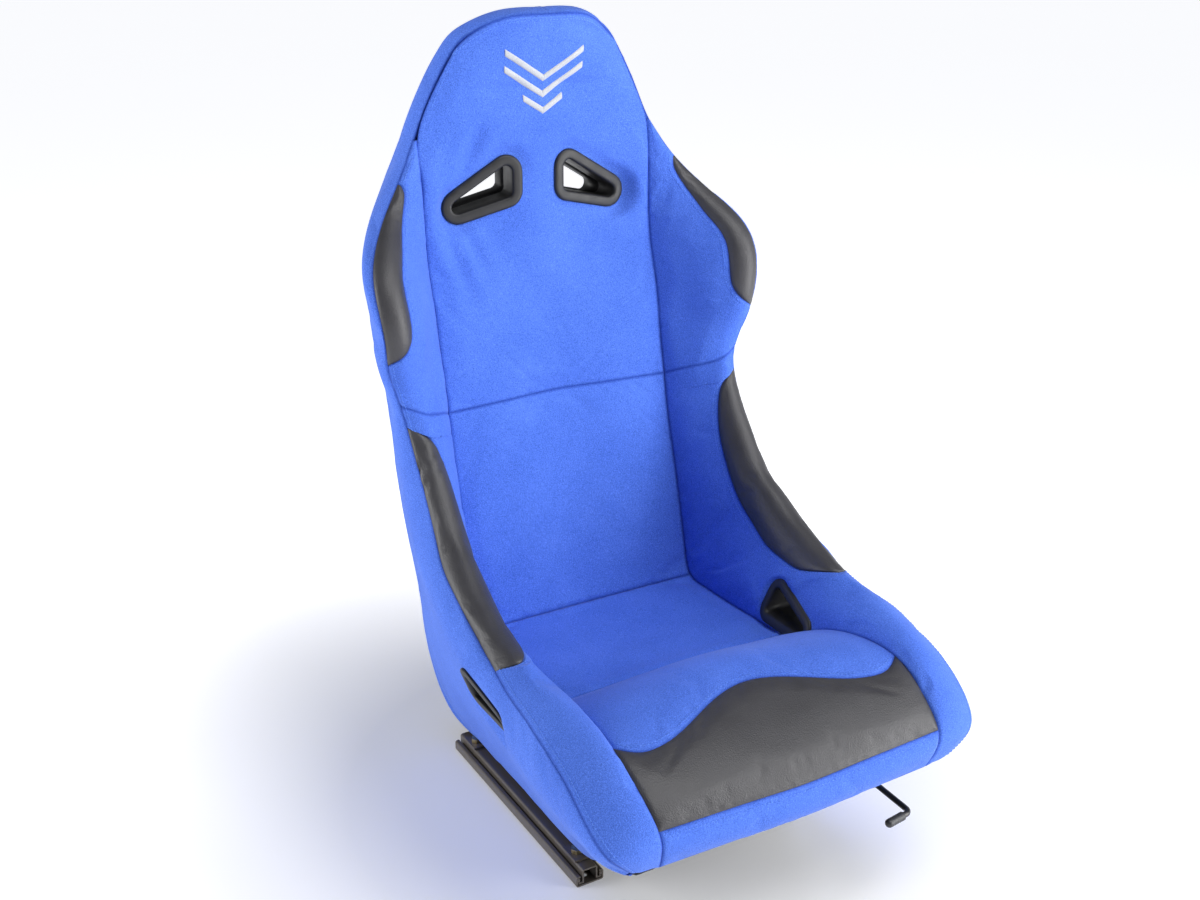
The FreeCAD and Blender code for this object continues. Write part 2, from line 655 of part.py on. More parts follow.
def base_cross(y):
    posts = [Part.makeCylinder(8, 38, V(x, y, MEMBER_Z + 20.2)) for x in (-110, 110)]
    bar = Part.makeCylinder(9, 250, V(-125, y, 98), V(1, 0, 0))
    bar = bar.fuse(posts[0]).fuse(posts[1])
    return bar.cut(Part.makeCylinder(9 - TUBE_WALL, 250, V(-125, y, 98), V(1, 0, 0)))


def side_hoop():
    """Bent tube through the bolster: shoulder, flank and thigh."""
    return bent_tube([CORE[i] for i in (5, 7, 9, 11, 13, 15, 17, 19, 21, 23)], 7.0, 120)


def zigzag(a, b, width, turns, across):
    """A serpentine wire spring from a to b."""
    pts = [a]
    for k in range(1, 2 * turns):
        side = 1 if k % 2 else -1
        pts.append(mix(a, b, k / (2.0 * turns)) + across * (side * width / 2))
    return bent_rod(pts + [b], 1.8, 6.0)


def base_springs():
    return group([zigzag(V(x, 134, 110), V(x, -99, 110), 36, 6, V(1, 0, 0)) for x in (-90, -30, 30, 90)])


def back_springs():
    rows = []
    for z, y, half in ((330, 193, 140), (400, 202, 148), (550, 227, 138), (620, 238, 138)):
        rows.append(zigzag(V(-half, y, z), V(half, y, z), 34, 6, V(0, 0, 1)))
    return group(rows)


# ---------------------------------------------------------------- build
def cut_all(shape, tools):
    for t in tools:
        shape = shape.cut(t)
    return shape


def build_covers():
    shoulder, side_holes = shoulder_room(), side_room()
    all_side_holes = side_holes + [mirrored(s) for s in side_holes]
    heads = [Part.makeCylinder(10, 40, V(x, y, 20)) for x in (-RAIL_X, RAIL_X) for y in (-SEAT_BOLT_Y, SEAT_BOLT_Y)]
    screws = [Part.makeCylinder(4, 20, V(x, y, 20)) for x in (-105, 105) for y in (-SEAT_BOLT_Y, SEAT_BOLT_Y)]
    export("cover_back_upper", cut_all(centre_cover(TOP + 0.03, WAIST3), shoulder))
    export("cover_back_lower", centre_cover(WAIST3 + 0.008, CORNER))
    export("cover_seat_base", cut_all(centre_cover(CORNER + 0.01, BASE4), all_side_holes))
    export("cover_front_roll", cut_all(centre_cover(BASE4 + 0.008, ROLL2 + 0.5), all_side_holes))
    export("leather_front_insert", centre_cover(ROLL2 + 0.508, LIP2))
    export("cover_front_strip", centre_cover(LIP2 + 0.015, LIP4))
    blue, shoulder_patch, thigh_patch = bolster_pieces()
    blue[0] = cut_all(blue[0], side_holes)
    right = group(blue)
    export("cover_bolster_right", right)
    export("cover_bolster_left", mirrored(right))
    for name, patch in (("leather_shoulder", shoulder_patch), ("leather_thigh", thigh_patch)):
        export(name + "_right", patch)
        export(name + "_left", mirrored(patch))
    side = cut_all(side_cover(), side_holes + heads)
    export("cover_side_right", side)
    export("cover_side_left", mirrored(side))
    export("cover_rear", cut_all(rear_cover(TOP + 0.06, BASE1), shoulder))
    export("cover_underside", cut_all(rear_cover(BASE1 + 0.01, LIP4), heads + screws))


def build_foams():
    side_holes = side_room()
    all_side_holes = side_holes + [mirrored(s) for s in side_holes]
    export("foam_head", centre_foam(TOP + 0.15, NECK + 0.5, 0.28))
    export("foam_back", cut_all(centre_foam(NECK + 0.51, CORNER - 0.5, 0.33), shoulder_room()))
    export("foam_base", centre_foam(CORNER + 0.4, BASE4 - 0.01, 0.42))
    export("foam_front", cut_all(centre_foam(BASE4, LIP4 - 1.3, 0.42), all_side_holes))
    upper = bolster_foam(SLOT1 + 0.1, WAIST3)
    lower = cut_all(bolster_foam(WAIST3 + 0.01, LIP4 - 1.3), side_holes)
    for name, foam in (("foam_shoulder", upper), ("foam_thigh", lower)):
        export(name + "_right", foam)
        export(name + "_left", mirrored(foam))


def build_bezels():
    names = ("bezels_shoulder_front", "bezels_shoulder_rear", "bezels_side_inner", "bezels_side_outer")
    for name, shape in zip(names, shoulder_bezels() + side_bezels()):
        export(name, shape)


def build_rails():
    export("lower_rail_right", lower_rail(True))
    export("lower_rail_left", mirrored(lower_rail(False)))
    export("upper_rail_right", upper_rail())
    export("upper_rail_left", mirrored(upper_rail()))
    for name, parts in (("rail_balls", rail_balls()), ("rail_rollers", rail_rollers()), ("rail_stops", rail_stops())):
        export(name, both(group(parts)))
    export("cross_strap_front", cross_strap(-SEAT_BOLT_Y))
    export("cross_strap_rear", cross_strap(SEAT_BOLT_Y))
    spots = [(x, y) for x in (-RAIL_X, RAIL_X) for y in (-SEAT_BOLT_Y, SEAT_BOLT_Y)]
    export("rail_bolts", group([rail_bolt(x, y) for x, y in spots]))
    export("rail_weld_nuts", group([weld_nut(x, y) for x, y in spots]))
    export("frame_screws", group([frame_screw(x, y) for x in (-105, 105) for y in (-SEAT_BOLT_Y, SEAT_BOLT_Y)]))


def build_lever():
    for name, shape in (("lever_bracket", lever_bracket()), ("lever_pin", lever_pin()),
                        ("latch_plate", latch_plate()), ("lever_rod", lever_rod()),
                        ("lever_grip", lever_grip()), ("lever_spring", lever_spring())):
        export(name, shape)


def build_frame():
    export("frame_member_right", base_member())
    export("frame_member_left", mirrored(base_member()))
    export("frame_back_hoop", back_hoop())
    export("frame_front_tube", front_frame())
    export("frame_cross_shoulder", cross_tube(250, 690, 146, 9))
    export("frame_cross_lumbar", cross_tube(212, 480, 150, 9))
    export("frame_base_cross", group([base_cross(-105), base_cross(140)]))
    export("frame_side_hoop_right", side_hoop())
    export("frame_side_hoop_left", mirrored(side_hoop()))
    export("springs_base", base_springs())
    export("springs_back", back_springs())


build_rails()
build_lever()
build_frame()
build_bezels()
build_covers()
build_foams()
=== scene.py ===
# Racing seat: the visual model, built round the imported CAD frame. Metres, +Z up, the seat faces -Y.
import json
import math

import bmesh
import bpy
import numpy as np
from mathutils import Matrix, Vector, noise


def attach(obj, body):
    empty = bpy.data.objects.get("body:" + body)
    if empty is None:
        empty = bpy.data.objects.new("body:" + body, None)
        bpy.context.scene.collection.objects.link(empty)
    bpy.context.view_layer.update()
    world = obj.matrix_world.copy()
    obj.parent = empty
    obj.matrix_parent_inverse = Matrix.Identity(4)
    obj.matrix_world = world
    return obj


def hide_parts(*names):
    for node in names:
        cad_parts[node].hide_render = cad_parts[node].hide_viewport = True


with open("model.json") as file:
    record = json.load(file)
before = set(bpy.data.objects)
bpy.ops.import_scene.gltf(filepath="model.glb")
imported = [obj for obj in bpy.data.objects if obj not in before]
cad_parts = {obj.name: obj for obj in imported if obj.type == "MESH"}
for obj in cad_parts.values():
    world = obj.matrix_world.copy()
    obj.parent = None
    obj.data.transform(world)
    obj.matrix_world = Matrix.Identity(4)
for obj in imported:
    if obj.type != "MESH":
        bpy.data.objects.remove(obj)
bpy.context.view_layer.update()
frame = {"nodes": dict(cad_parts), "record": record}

# ---- the seat's outline
# Half outline in millimetres, one row per station from the crown of the head down the
# back, round the seat corner and forward to the front lip; the same rows as the CAD's.
# centre, inner seam, inner wall, ridge, outer seam, side bulge, rear edge, rear middle, rear centre
STATIONS = [
    ((0, 170, 943), (108, 199, 905), None, None, (110, 201, 904), (113, 221, 906), (95, 250, 898), None,
     (0, 246, 934)),
    ((0, 184, 868), (138, 204, 853), None, None, (140, 205, 853), (143, 225, 854), (122, 258, 855),
     (80, 266, 862), (0, 266, 866)),
    ((0, 195, 806), (157, 203, 806), (158.5, 203, 806), (160.5, 203, 806), (162, 204, 806), (165, 223, 806),
     (142, 263, 806), (95, 272, 806), (0, 266, 806)),
    ((0, 203, 765), (156, 197, 765), (166, 193, 765), (177, 188, 765), (188, 190, 764), (190, 212, 764),
     (160, 266, 765), (103, 274, 765), (0, 263, 765)),
    ((0, 206, 725), (155, 195, 725), (178, 180, 725), (201, 165, 725), (220, 165, 725), (223, 186, 725),
     (177, 265, 725), (106, 274, 725), (0, 262, 725)),
    ((0, 204, 685), (155, 193, 685), (185, 163, 688), (224, 122, 686), (252, 122, 682), (255, 143, 683),
     (186, 260, 685), (106, 270, 685), (0, 263, 685)),
    ((0, 198, 645), (155, 186, 645), (186, 150, 647), (226, 98, 644), (258, 96, 638), (261, 116, 639),
     (187, 250, 645), (106, 264, 645), (0, 262, 645)),
    ((0, 190, 605), (155, 174, 605), (186, 138, 606), (224, 90, 602), (254, 92, 598), (257, 112, 600),
     (185, 243, 605), (106, 257, 605), (0, 258, 605)),
    ((0, 181, 568), (155, 166, 568), (185, 136, 566), (221, 95, 564), (249, 98, 564), (252, 119, 565),
     (184, 238, 568), (106, 251, 568), (0, 253, 568)),
    ((0, 172, 530), (154, 158, 530), (181, 130, 528), (211, 100, 526), (236, 104, 524), (240, 126, 525),
     (186, 234, 530), (106, 245, 530), (0, 247, 530)),
    ((0, 163, 485), (154, 149, 485), (179, 118, 482), (206, 86, 480), (230, 92, 482), (235, 116, 482),
     (191, 226, 485), (106, 238, 485), (0, 241, 485)),
    ((0, 150, 428), (154, 137, 428), (178, 98, 430), (206, 54, 434), (230, 57, 427), (236, 84, 424),
     (197, 216, 428), (106, 230, 428), (0, 233, 428)),
    ((0, 135, 370), (155, 122, 370), (178, 76, 378), (206, 20, 392), (233, 21, 376), (240, 48, 368),
     (195, 209, 370), (106, 222, 370), (0, 226, 370)),
    ((0, 119, 310), (155, 106, 310), (178, 54, 326), (206, -10, 366), (237, -8, 354), (244, 14, 338),
     (188, 206, 306), (106, 217, 306), (0, 220, 306)),
    ((0, 102, 255), (155, 92, 255), (177, 34, 294), (206, -42, 343), (238, -43, 336), (246, -22, 316),
     (180, 206, 235), (106, 214, 235), (0, 216, 235)),
    ((0, 84, 219), (155, 78, 222), (173, 14, 268), (206, -70, 327), (238, -69, 323), (247, -52, 300),
     (171, 207, 136), (106, 212, 136), (0, 213, 136)),
    ((0, 45, 211), (156, 45, 217), (173, -12, 264), (206, -96, 317), (238, -90, 314), (248, -80, 287),
     (148, 200, 42), (104, 202, 42), (0, 202, 42)),
    ((0, -10, 209), (158, -10, 217), (174, -46, 264), (206, -122, 310), (239, -110, 306), (248, -104, 274),
     (139, 130, 28), (100, 130, 28), (0, 130, 28)),
    ((0, -62, 212), (161, -66, 218), (177, -84, 264), (206, -150, 304), (240, -136, 297), (248, -134, 262),
     (138, 20, 28), (100, 20, 28), (0, 20, 28)),
    ((0, -112, 221), (166, -118, 222), (182, -126, 264), (207, -182, 300), (244, -176, 288), (249, -176, 246),
     (138, -90, 28), (100, -90, 28), (0, -90, 28)),
    ((0, -165, 255), (173, -172, 250), (186, -178, 278), (209, -222, 298), (247, -222, 283), (250, -220, 236),
     (140, -162, 33), (100, -162, 33), (0, -162, 33)),
    ((0, -222, 281), (180, -232, 270), (190, -236, 286), (212, -262, 291), (248, -262, 272), (250, -258, 228),
     (150, -215, 66), (104, -215, 66), (0, -215, 66)),
    ((0, -285, 270), (185, -294, 271), (193, -297, 279), (214, -302, 278), (248, -302, 259), (249, -298, 220),
     (162, -265, 100), (110, -265, 100), (0, -265, 100)),
    ((0, -345, 243), (184, -342, 249), (193, -342, 254), (216, -342, 252), (247, -342, 234), (246, -336, 208),
     (176, -305, 126), (118, -305, 126), (0, -305, 126)),
    ((0, -378, 216), (181, -375, 220), (191, -375, 222), (213, -373, 220), (240, -367, 210), (236, -355, 194),
     (188, -333, 145), (126, -333, 145), (0, -333, 145)),
    ((0, -380, 190), (178, -376, 192), (188, -376, 194), (207, -375, 194), (226, -371, 193), (221, -362, 184),
     (196, -350, 157), (130, -350, 157), (0, -350, 157)),
    ((0, -369, 166), (174, -366, 168), (183, -366, 170), (196, -366, 171), (208, -363, 173), (206, -359, 169),
     (200, -355, 163), (134, -357, 161), (0, -358, 161)),
]
# the outer seam, bulge and rear edge carry on over the crown to the middle
CROWN = [
    ((0, 170, 943), (0, 192, 948), (0, 246, 934)),
    ((50, 175, 941), (51, 197, 945), (44, 247, 930)),
    ((86, 192, 926), (89, 213, 929), (77, 249, 916)),
]
NECK, WAIST, CORNER, UNDER, ROLL, LIP, LAST = 2, 10, 15, 16, 19, 24, 26
CROWN_ROWS = len(CROWN)
DISH = {2: 3.0, 3: 9.0, 4: 13.0, 5: 10.0, 6: 6.0, 7: 3.0}   # hollow beside the centre line, mm
BEZEL_RIM = 0.012
SLEEVE = 0.003


def column(k):
    """One line of the outline as an array; rows where the line doesn't exist are nan."""
    return np.array([row[k] or (np.nan,) * 3 for row in STATIONS], float) / 1000.0


CENTRE, INNER, WALL, RIDGE, SEAM, BULGE, REAR, MIDREAR, REARC = [column(k) for k in range(9)]
MIDREAR[0] = np.array(CROWN[2][2]) / 1000.0


def flip(points):
    return points * np.array([-1.0, 1.0, 1.0])


def dished(fraction):
    line = CENTRE + (INNER - CENTRE) * fraction
    for row, depth in DISH.items():
        line[row, 1] += depth / 1000.0 * math.sin(math.pi * fraction)
    top = np.array(CROWN[1][0] if fraction < 0.5 else CROWN[2][0], float) / 1000.0
    line[0] = top if fraction < 0.5 else top - 0.001
    return line


def second_derivatives(points):
    """The bends of a natural cubic spline through rows of points."""
    n = len(points)
    matrix, right = np.zeros((n, n)), np.zeros_like(points)
    matrix[0, 0] = matrix[-1, -1] = 1.0
    for i in range(1, n - 1):
        matrix[i, i - 1:i + 2] = (1.0, 4.0, 1.0)
        right[i] = 6.0 * (points[i + 1] - 2.0 * points[i] + points[i - 1])
    return np.linalg.solve(matrix, right.reshape(n, -1)).reshape(points.shape)


def hermite(p0, p1, m0, m1, f):
    g = 1.0 - f
    return p0 * g + p1 * f + (g ** 3 - g) * m0 / 6.0 + (f ** 3 - f) * m1 / 6.0


class Surface:
    """A skin through columns of outline points: t is the row, u the column number."""

    def __init__(self, columns, first=0):
        self.points = np.stack(columns, 1)
        self.bends = second_derivatives(self.points)
        self.first = first

    def at(self, t, u):
        shape = np.shape(t)
        t, u = np.ravel(t) - self.first, np.ravel(u)
        i = np.clip(np.floor(t).astype(int), 0, len(self.points) - 2)
        f = (t - i)[:, None, None]
        across = hermite(self.points[i], self.points[i + 1], self.bends[i], self.bends[i + 1], f)
        across = np.moveaxis(across, 1, 0)
        turns = second_derivatives(across)
        j = np.clip(np.floor(u).astype(int), 0, len(across) - 2)
        k = np.arange(len(t))
        g = (u - j)[:, None]
        return hermite(across[j, k], across[j + 1, k], turns[j, k], turns[j + 1, k], g).reshape(shape + (3,))

    def normal(self, t, u):
        """Unit normal, outwards from the seat."""
        rows, cols = self.first + len(self.points) - 1, self.points.shape[1] - 1
        step = 0.02
        t0, t1 = np.clip(t - step, self.first, rows), np.clip(t + step, self.first, rows)
        u0, u1 = np.clip(u - step, 0, cols), np.clip(u + step, 0, cols)
        cross = np.cross(self.at(t1, u) - self.at(t0, u), self.at(t, u1) - self.at(t, u0))
        return unit(cross)


def eased(x):
    """From 0 to 1 with a soft start and a soft end."""
    return x * x * (3.0 - 2.0 * x)


def unit(v):
    return v / np.maximum(np.linalg.norm(v, axis=-1, keepdims=True), 1e-12)


def crowned(k, body):
    return np.concatenate([np.array([c[k] for c in CROWN], float) / 1000.0, body])


MID1, MID2 = dished(0.36), dished(0.68)
CENTRE_SKIN = Surface([flip(INNER), flip(MID2), flip(MID1), CENTRE, MID1, MID2, INNER])
BOLSTER_SKIN = Surface([c[NECK:] for c in (INNER, WALL, RIDGE, SEAM)], NECK)


FLANK_SHARES, FLANK_PUFF = (0.33, 0.68), np.array([0.004, 0.0, 0.0])


def side_columns():
    """Outer seam, bulge, two lines on the flank that keep it full, and the rear edge."""
    seam, bulge, rear = crowned(0, SEAM), crowned(1, BULGE), crowned(2, REAR)
    flank = [bulge + (rear - bulge) * share + FLANK_PUFF for share in FLANK_SHARES]
    return [seam, bulge, *flank, rear]


SIDE_SKIN = Surface(side_columns(), -CROWN_ROWS)
REAR_SKIN = Surface([REAR, MIDREAR, REARC, flip(MIDREAR), flip(REAR)])
CENTRE_EDGE, BOLSTER_EDGE, SIDE_EDGE, REAR_EDGE = 6.0, 3.0, 4.0, 4.0


def seam_normal(skin_a, u_a, skin_b, u_b):
    """Normal of the seam where two skins meet: half-way between theirs."""
    return lambda t: unit(skin_a.normal(t, np.full_like(t, u_a)) + skin_b.normal(t, np.full_like(t, u_b)))


def head_or_bolster(t):
    """Along the outer seam the side panel meets the crown first, then the head, then the bolster."""
    side = SIDE_SKIN.normal(t, np.zeros_like(t))
    head = CENTRE_SKIN.normal(np.clip(t, 0.0, LAST), np.full_like(t, CENTRE_EDGE))
    bolster = BOLSTER_SKIN.normal(np.clip(t, NECK, LAST), np.full_like(t, BOLSTER_EDGE))
    front = np.where((t < HEAD_END)[..., None], head, bolster)
    return unit(side + np.where((t < 0)[..., None], CROWN_NORMAL, front))


CROWN_NORMAL = unit(np.array([0.0, -0.6, 0.4]))
HEAD_END, HEAD_BORDER_END = NECK + 0.5, NECK + 0.3    # rows where the head's edge gives way to the bolster
INNER_SEAM = seam_normal(CENTRE_SKIN, CENTRE_EDGE, BOLSTER_SKIN, 0.0)
REAR_SEAM = seam_normal(SIDE_SKIN, SIDE_EDGE, REAR_SKIN, 0.0)


# ---- panels
GRID = 0.0034          # spacing of the visible grid
RAMP = np.cumsum([0.0010, 0.0014, 0.0019, 0.0024, 0.0028])   # closer rows beside a seam
RAMP_SHARE = 0.3       # the most of a panel's length that they take up at each end
THICK = 0.010          # depth of a sewn panel with its backing
BACK_STRIDE = 4        # the hidden back of a panel is coarser by this
COARSE_GRID = 0.0042   # for the sides, the rear and the underside
SEAM_DEPTH, SEAM_WIDTH = 0.0014, 0.0024
PUFF_REACH = 0.016     # how far from a seam a panel comes to its full puff
EDGE_REACH = 0.005     # how far the shared normal of two panels reaches into each
CAP = 0.0035           # the most that the simulation may move a point


def spaced(length, step=GRID):
    """Fractions from 0 to 1, closer together near both ends; the count suits the coarse back."""
    ramp = RAMP * min(1.0, RAMP_SHARE * length / RAMP[-1]) / length
    count = max(2, int(round((1.0 - 2.0 * ramp[-1]) * length / step)))
    count = BACK_STRIDE * int(round((count - 2) / BACK_STRIDE)) + 2
    middle = np.linspace(ramp[-1], 1.0 - ramp[-1], count + 1)
    return np.concatenate([[0.0], ramp[:-1], middle, 1.0 - ramp[-2::-1], [1.0]])


def lengths(points, axis):
    """Distance along each grid line from its start."""
    steps = np.linalg.norm(np.diff(points, axis=axis), axis=-1)
    total = np.cumsum(steps, axis=axis)
    pad = [(0, 0), (0, 0)]
    pad[axis] = (1, 0)
    return np.pad(total, pad)


def distances(line):
    """How far each point of a line is from its start."""
    return np.concatenate([[0.0], np.cumsum(np.linalg.norm(np.diff(line, axis=0), axis=1))])


def rows_along(skin, line, step=GRID):
    """(t, u) points spread evenly along a line drawn on a skin."""
    t, u = np.array(line, float).T
    far = distances(skin.at(t, u))
    want = spaced(far[-1], step) * far[-1]
    return np.interp(want, far, t), np.interp(want, far, u)


def columns_across(skin, t, u0, u1, step=GRID, samples=41):
    """Column parameters spread evenly across a skin, judged at the given rows."""
    u = np.linspace(u0, u1, samples)
    points = skin.at(np.repeat(t[:, None], samples, 1), np.repeat(u[None], len(t), 0))
    far = lengths(points, 1).mean(0)
    return np.interp(spaced(far[-1], step), far / far[-1], (u - u0) / (u1 - u0))


def plain_grid(skin, line, last):
    """Rows and columns for a panel that covers the whole width of a skin."""
    rows, _ = rows_along(skin, line, COARSE_GRID)
    across = columns_across(skin, rows, 0.0, last, COARSE_GRID)
    return np.repeat(rows[:, None], len(across), 1), np.repeat(across[None] * last, len(rows), 0)


class Panel:
    """A sewn panel: a fine grid on a skin, its seams, and a coarse back that closes it."""

    def __init__(self, name, skin, t, u, side=1, edges=(None, None), puff=0.0015, sewn=(0, 1, 2, 3)):
        """edges: the shared normal along the first and the last column; sewn: the edges with a seam."""
        self.name, self.side = name, side
        base, self.out = skin.at(t, u), skin.normal(t, u)
        across, along = lengths(base, 1), lengths(base, 0)
        self.gaps = [across, across[:, -1:] - across, along, along[-1:] - along]
        self.seam = np.minimum.reduce([self.gaps[k] for k in sewn])
        for gap, edge, column in zip(self.gaps, edges, (0, -1)):
            if edge is not None:
                shared = edge(t[:, column])[:, None]
                weight = np.exp(-(gap / EDGE_REACH) ** 2)[..., None]
                self.out = unit(self.out * (1.0 - weight) + shared * weight)
        rise = puff * (1.0 - np.exp(-self.seam / PUFF_REACH))
        rise -= SEAM_DEPTH * np.exp(-(self.seam / SEAM_WIDTH) ** 2)
        self.front = base + self.out * rise[..., None]
        if side < 0:
            self.front, self.out = flip(self.front), flip(self.out)

    def lift(self, amount):
        self.front = self.front + self.out * amount[..., None]

    def faces(self, rows, cols, offset=0):
        i, j = np.meshgrid(np.arange(rows - 1), np.arange(cols - 1), indexing="ij")
        a = offset + i * cols + j
        quads = np.stack([a, a + cols, a + cols + 1, a + 1], -1).reshape(-1, 4)
        return quads if self.side > 0 else quads[:, ::-1]

    def closed(self, stride=BACK_STRIDE):
        """Vertices and faces of the front, the turned-in edge and the back."""
        rows, cols = self.front.shape[:2]
        inner = (self.front - self.out * THICK)[::stride, ::stride]
        brows, bcols = inner.shape[:2]
        start = rows * cols
        vertices = np.concatenate([self.front.reshape(-1, 3), inner.reshape(-1, 3)])
        faces = [tuple(f) for f in self.faces(rows, cols)]
        faces += [tuple(f[::-1]) for f in self.faces(brows, bcols, start)]
        faces += self.rims(rows, cols, bcols, brows, start, stride)
        return vertices, faces

    def rims(self, rows, cols, bcols, brows, start, stride):
        """Faces round the edge: one coarse step of the back to several fine steps of the front."""
        rims = []

        def add(front, back):
            rim = list(front) + list(back[::-1])
            rims.append(tuple(rim if self.side > 0 else rim[::-1]))
        last, back_last = (rows - 1) * cols, start + (brows - 1) * bcols
        for k in range(bcols - 1):
            j = range(k * stride, (k + 1) * stride + 1)
            add(j, [start + k, start + k + 1])
            add([last + c for c in j][::-1], [back_last + k + 1, back_last + k])
        for k in range(brows - 1):
            i = range(k * stride, (k + 1) * stride + 1)
            first = start + k * bcols
            add([r * cols for r in i][::-1], [first + bcols, first])
            add([r * cols + cols - 1 for r in i], [first + bcols - 1, first + 2 * bcols - 1])
        return rims


def wave(q):
    """Row of the leather insert's upper edge across the seat: a crest, two lows, and up again."""
    return np.interp(np.abs(2.0 * q - 1.0), WAVE_AT, WAVE_ROW)


WAVE_AT = np.linspace(0.0, 1.0, 41)
WAVE_ROW = 21.95 - 0.33 * np.cos(WAVE_AT * math.pi / 0.82) - 6.0 * np.clip(WAVE_AT - 0.80, 0.0, 1.0) ** 2
# inner edges of the leather patches: (row, column) points on the bolster's skin
SHOULDER_EDGE = [(3.1, 3), (3.13, 2.65), (3.3, 2.1), (3.55, 1.76), (4.07, 1.62), (4.78, 1.57),
                 (5.31, 1.72), (5.87, 1.82), (6.54, 1.82), (6.98, 1.9), (7.3, 2.2), (7.52, 2.7), (7.65, 3)]
THIGH_EDGE = [(9.67, 3), (9.74, 2.5), (9.92, 2.05), (10.23, 1.73), (10.89, 1.48), (11.68, 1.38),
              (12.73, 1.41), (13.85, 1.48), (15.28, 1.56), (16.74, 1.59), (17.35, 1.72), (17.72, 2.1),
              (17.93, 2.6), (18.0, 3)]


def softened(points, steps=12):
    """A smooth line through (t, u) points."""
    p = np.array(points, float)
    bends = second_derivatives(p)
    s = np.linspace(0, len(p) - 1, steps * (len(p) - 1) + 1)
    i = np.clip(np.floor(s).astype(int), 0, len(p) - 2)
    line = hermite(p[i], p[i + 1], bends[i], bends[i + 1], (s - i)[:, None])
    line[:, 0] = np.maximum.accumulate(line[:, 0])
    line[:, 1] = np.clip(line[:, 1], 0, BOLSTER_EDGE)
    return line


def straight(t0, t1, u, count=120):
    return np.stack([np.linspace(t0, t1, count), np.full(count, float(u))], 1)


def centre_border(t):
    inner = INNER_SEAM(np.clip(t, NECK, LAST))
    return np.where((t < HEAD_BORDER_END)[..., None], head_or_bolster(t), inner)


def mirrored(border):
    return lambda t: flip(border(t))


def centre_panel(name, top, bottom, **looks):
    """A panel across the middle; top and bottom are rows, or functions of the place across."""
    mid = [f(np.array([0.5]))[0] if callable(f) else f for f in (top, bottom)]
    rows, _ = rows_along(CENTRE_SKIN, straight(mid[0], mid[1], 3.0))
    share = (rows - mid[0]) / (mid[1] - mid[0])
    across = columns_across(CENTRE_SKIN, rows, 0.0, CENTRE_EDGE)
    t0 = top(across) if callable(top) else np.full_like(across, top)
    t1 = bottom(across) if callable(bottom) else np.full_like(across, bottom)
    t = t0[None] * (1.0 - share[:, None]) + t1[None] * share[:, None]
    u = np.repeat(across[None] * CENTRE_EDGE, len(rows), 0)
    edges = (mirrored(centre_border), centre_border)
    return Panel(name, CENTRE_SKIN, t, u, 1, edges, **looks)


# the bolster's cross seam: its row at the outer edge, and how far it falls inwards
BOLSTER_SEAM, BOLSTER_FALL, FALL_REACH = 9.04, 0.96, 2.4


def gathered(rows, at, reach=0.45, power=1.8):
    """Rows moved closer together near one of them, to shape a seam there."""
    off = rows - at
    near = at + np.sign(off) * reach * (np.abs(off) / reach) ** power
    return np.where(np.abs(off) < reach, near, rows)


def bolster_panel(side):
    line = np.concatenate([straight(NECK + 0.01, SHOULDER_EDGE[0][0], 3.0, 20), softened(SHOULDER_EDGE),
                           straight(SHOULDER_EDGE[-1][0], THIGH_EDGE[0][0], 3.0, 20), softened(THIGH_EDGE),
                           straight(THIGH_EDGE[-1][0], LAST, 3.0, 60)])
    rows, limit = rows_along(BOLSTER_SKIN, line)
    rows = gathered(rows, BOLSTER_SEAM)
    across = columns_across(BOLSTER_SKIN, rows, 0.0, BOLSTER_EDGE)
    s = np.clip(1.0 - np.abs(rows - BOLSTER_SEAM) / FALL_REACH, 0.0, 1.0)
    t = rows[:, None] + BOLSTER_FALL * eased(s)[:, None] * (1.0 - across[None])
    u = limit[:, None] * across[None]

    def edge(t):
        own = BOLSTER_SKIN.normal(t, limit)
        seam = np.clip((limit - 2.7) / 0.3, 0.0, 1.0)[:, None]
        return unit(own * (1.0 - seam) + head_or_bolster(t) * seam)
    panel = Panel("bolster_" + SIDE_NAME[side], BOLSTER_SKIN, t, u, side, (INNER_SEAM, edge))
    panel.rows = rows
    return panel


def cross_seam(panel, row, width=0.0022):
    """A sewn line across a panel, along one of its rows."""
    along = lengths(panel.front, 0)
    at = np.array([np.interp(row, panel.rows, along[:, j]) for j in range(along.shape[1])])
    gap = np.abs(along - at)
    panel.seam = np.minimum(panel.seam, gap)
    panel.lift(-SEAM_DEPTH * np.exp(-(gap / width) ** 2))


def patch_panel(name, edge_line, side):
    line = softened(edge_line)[2:-2]
    rows, limit = rows_along(BOLSTER_SKIN, line)
    across = columns_across(BOLSTER_SKIN, rows, float(limit.mean()), BOLSTER_EDGE)
    t = np.repeat(rows[:, None], len(across), 1)
    u = limit[:, None] + (BOLSTER_EDGE - limit[:, None]) * across[None]
    return Panel(name + SIDE_NAME[side], BOLSTER_SKIN, t, u, side, (None, head_or_bolster), puff=0.0025)


def side_panel(side):
    t, u = plain_grid(SIDE_SKIN, straight(-CROWN_ROWS, LAST, 1.0, 240), SIDE_EDGE)
    edges = (head_or_bolster, rear_border)
    return Panel("side_" + SIDE_NAME[side], SIDE_SKIN, t, u, side, edges, puff=0.001, sewn=(0, 1, 3))


def meet_at_crown(panel, reach=0.012):
    """The two side panels meet over the crown, in the seat's middle plane."""
    away = panel.front[0, :, 0].copy()
    panel.front[..., 0] -= away[None] * np.exp(-(panel.gaps[2] / reach) ** 2)


def rear_border(t):
    return REAR_SEAM(np.clip(t, 0.0, LAST))


def rear_panel(name, t0, t1):
    t, u = plain_grid(REAR_SKIN, straight(t0, t1, 2.0, 160), REAR_EDGE)
    return Panel(name, REAR_SKIN, t, u, 1, (rear_border, mirrored(rear_border)), puff=0.002)


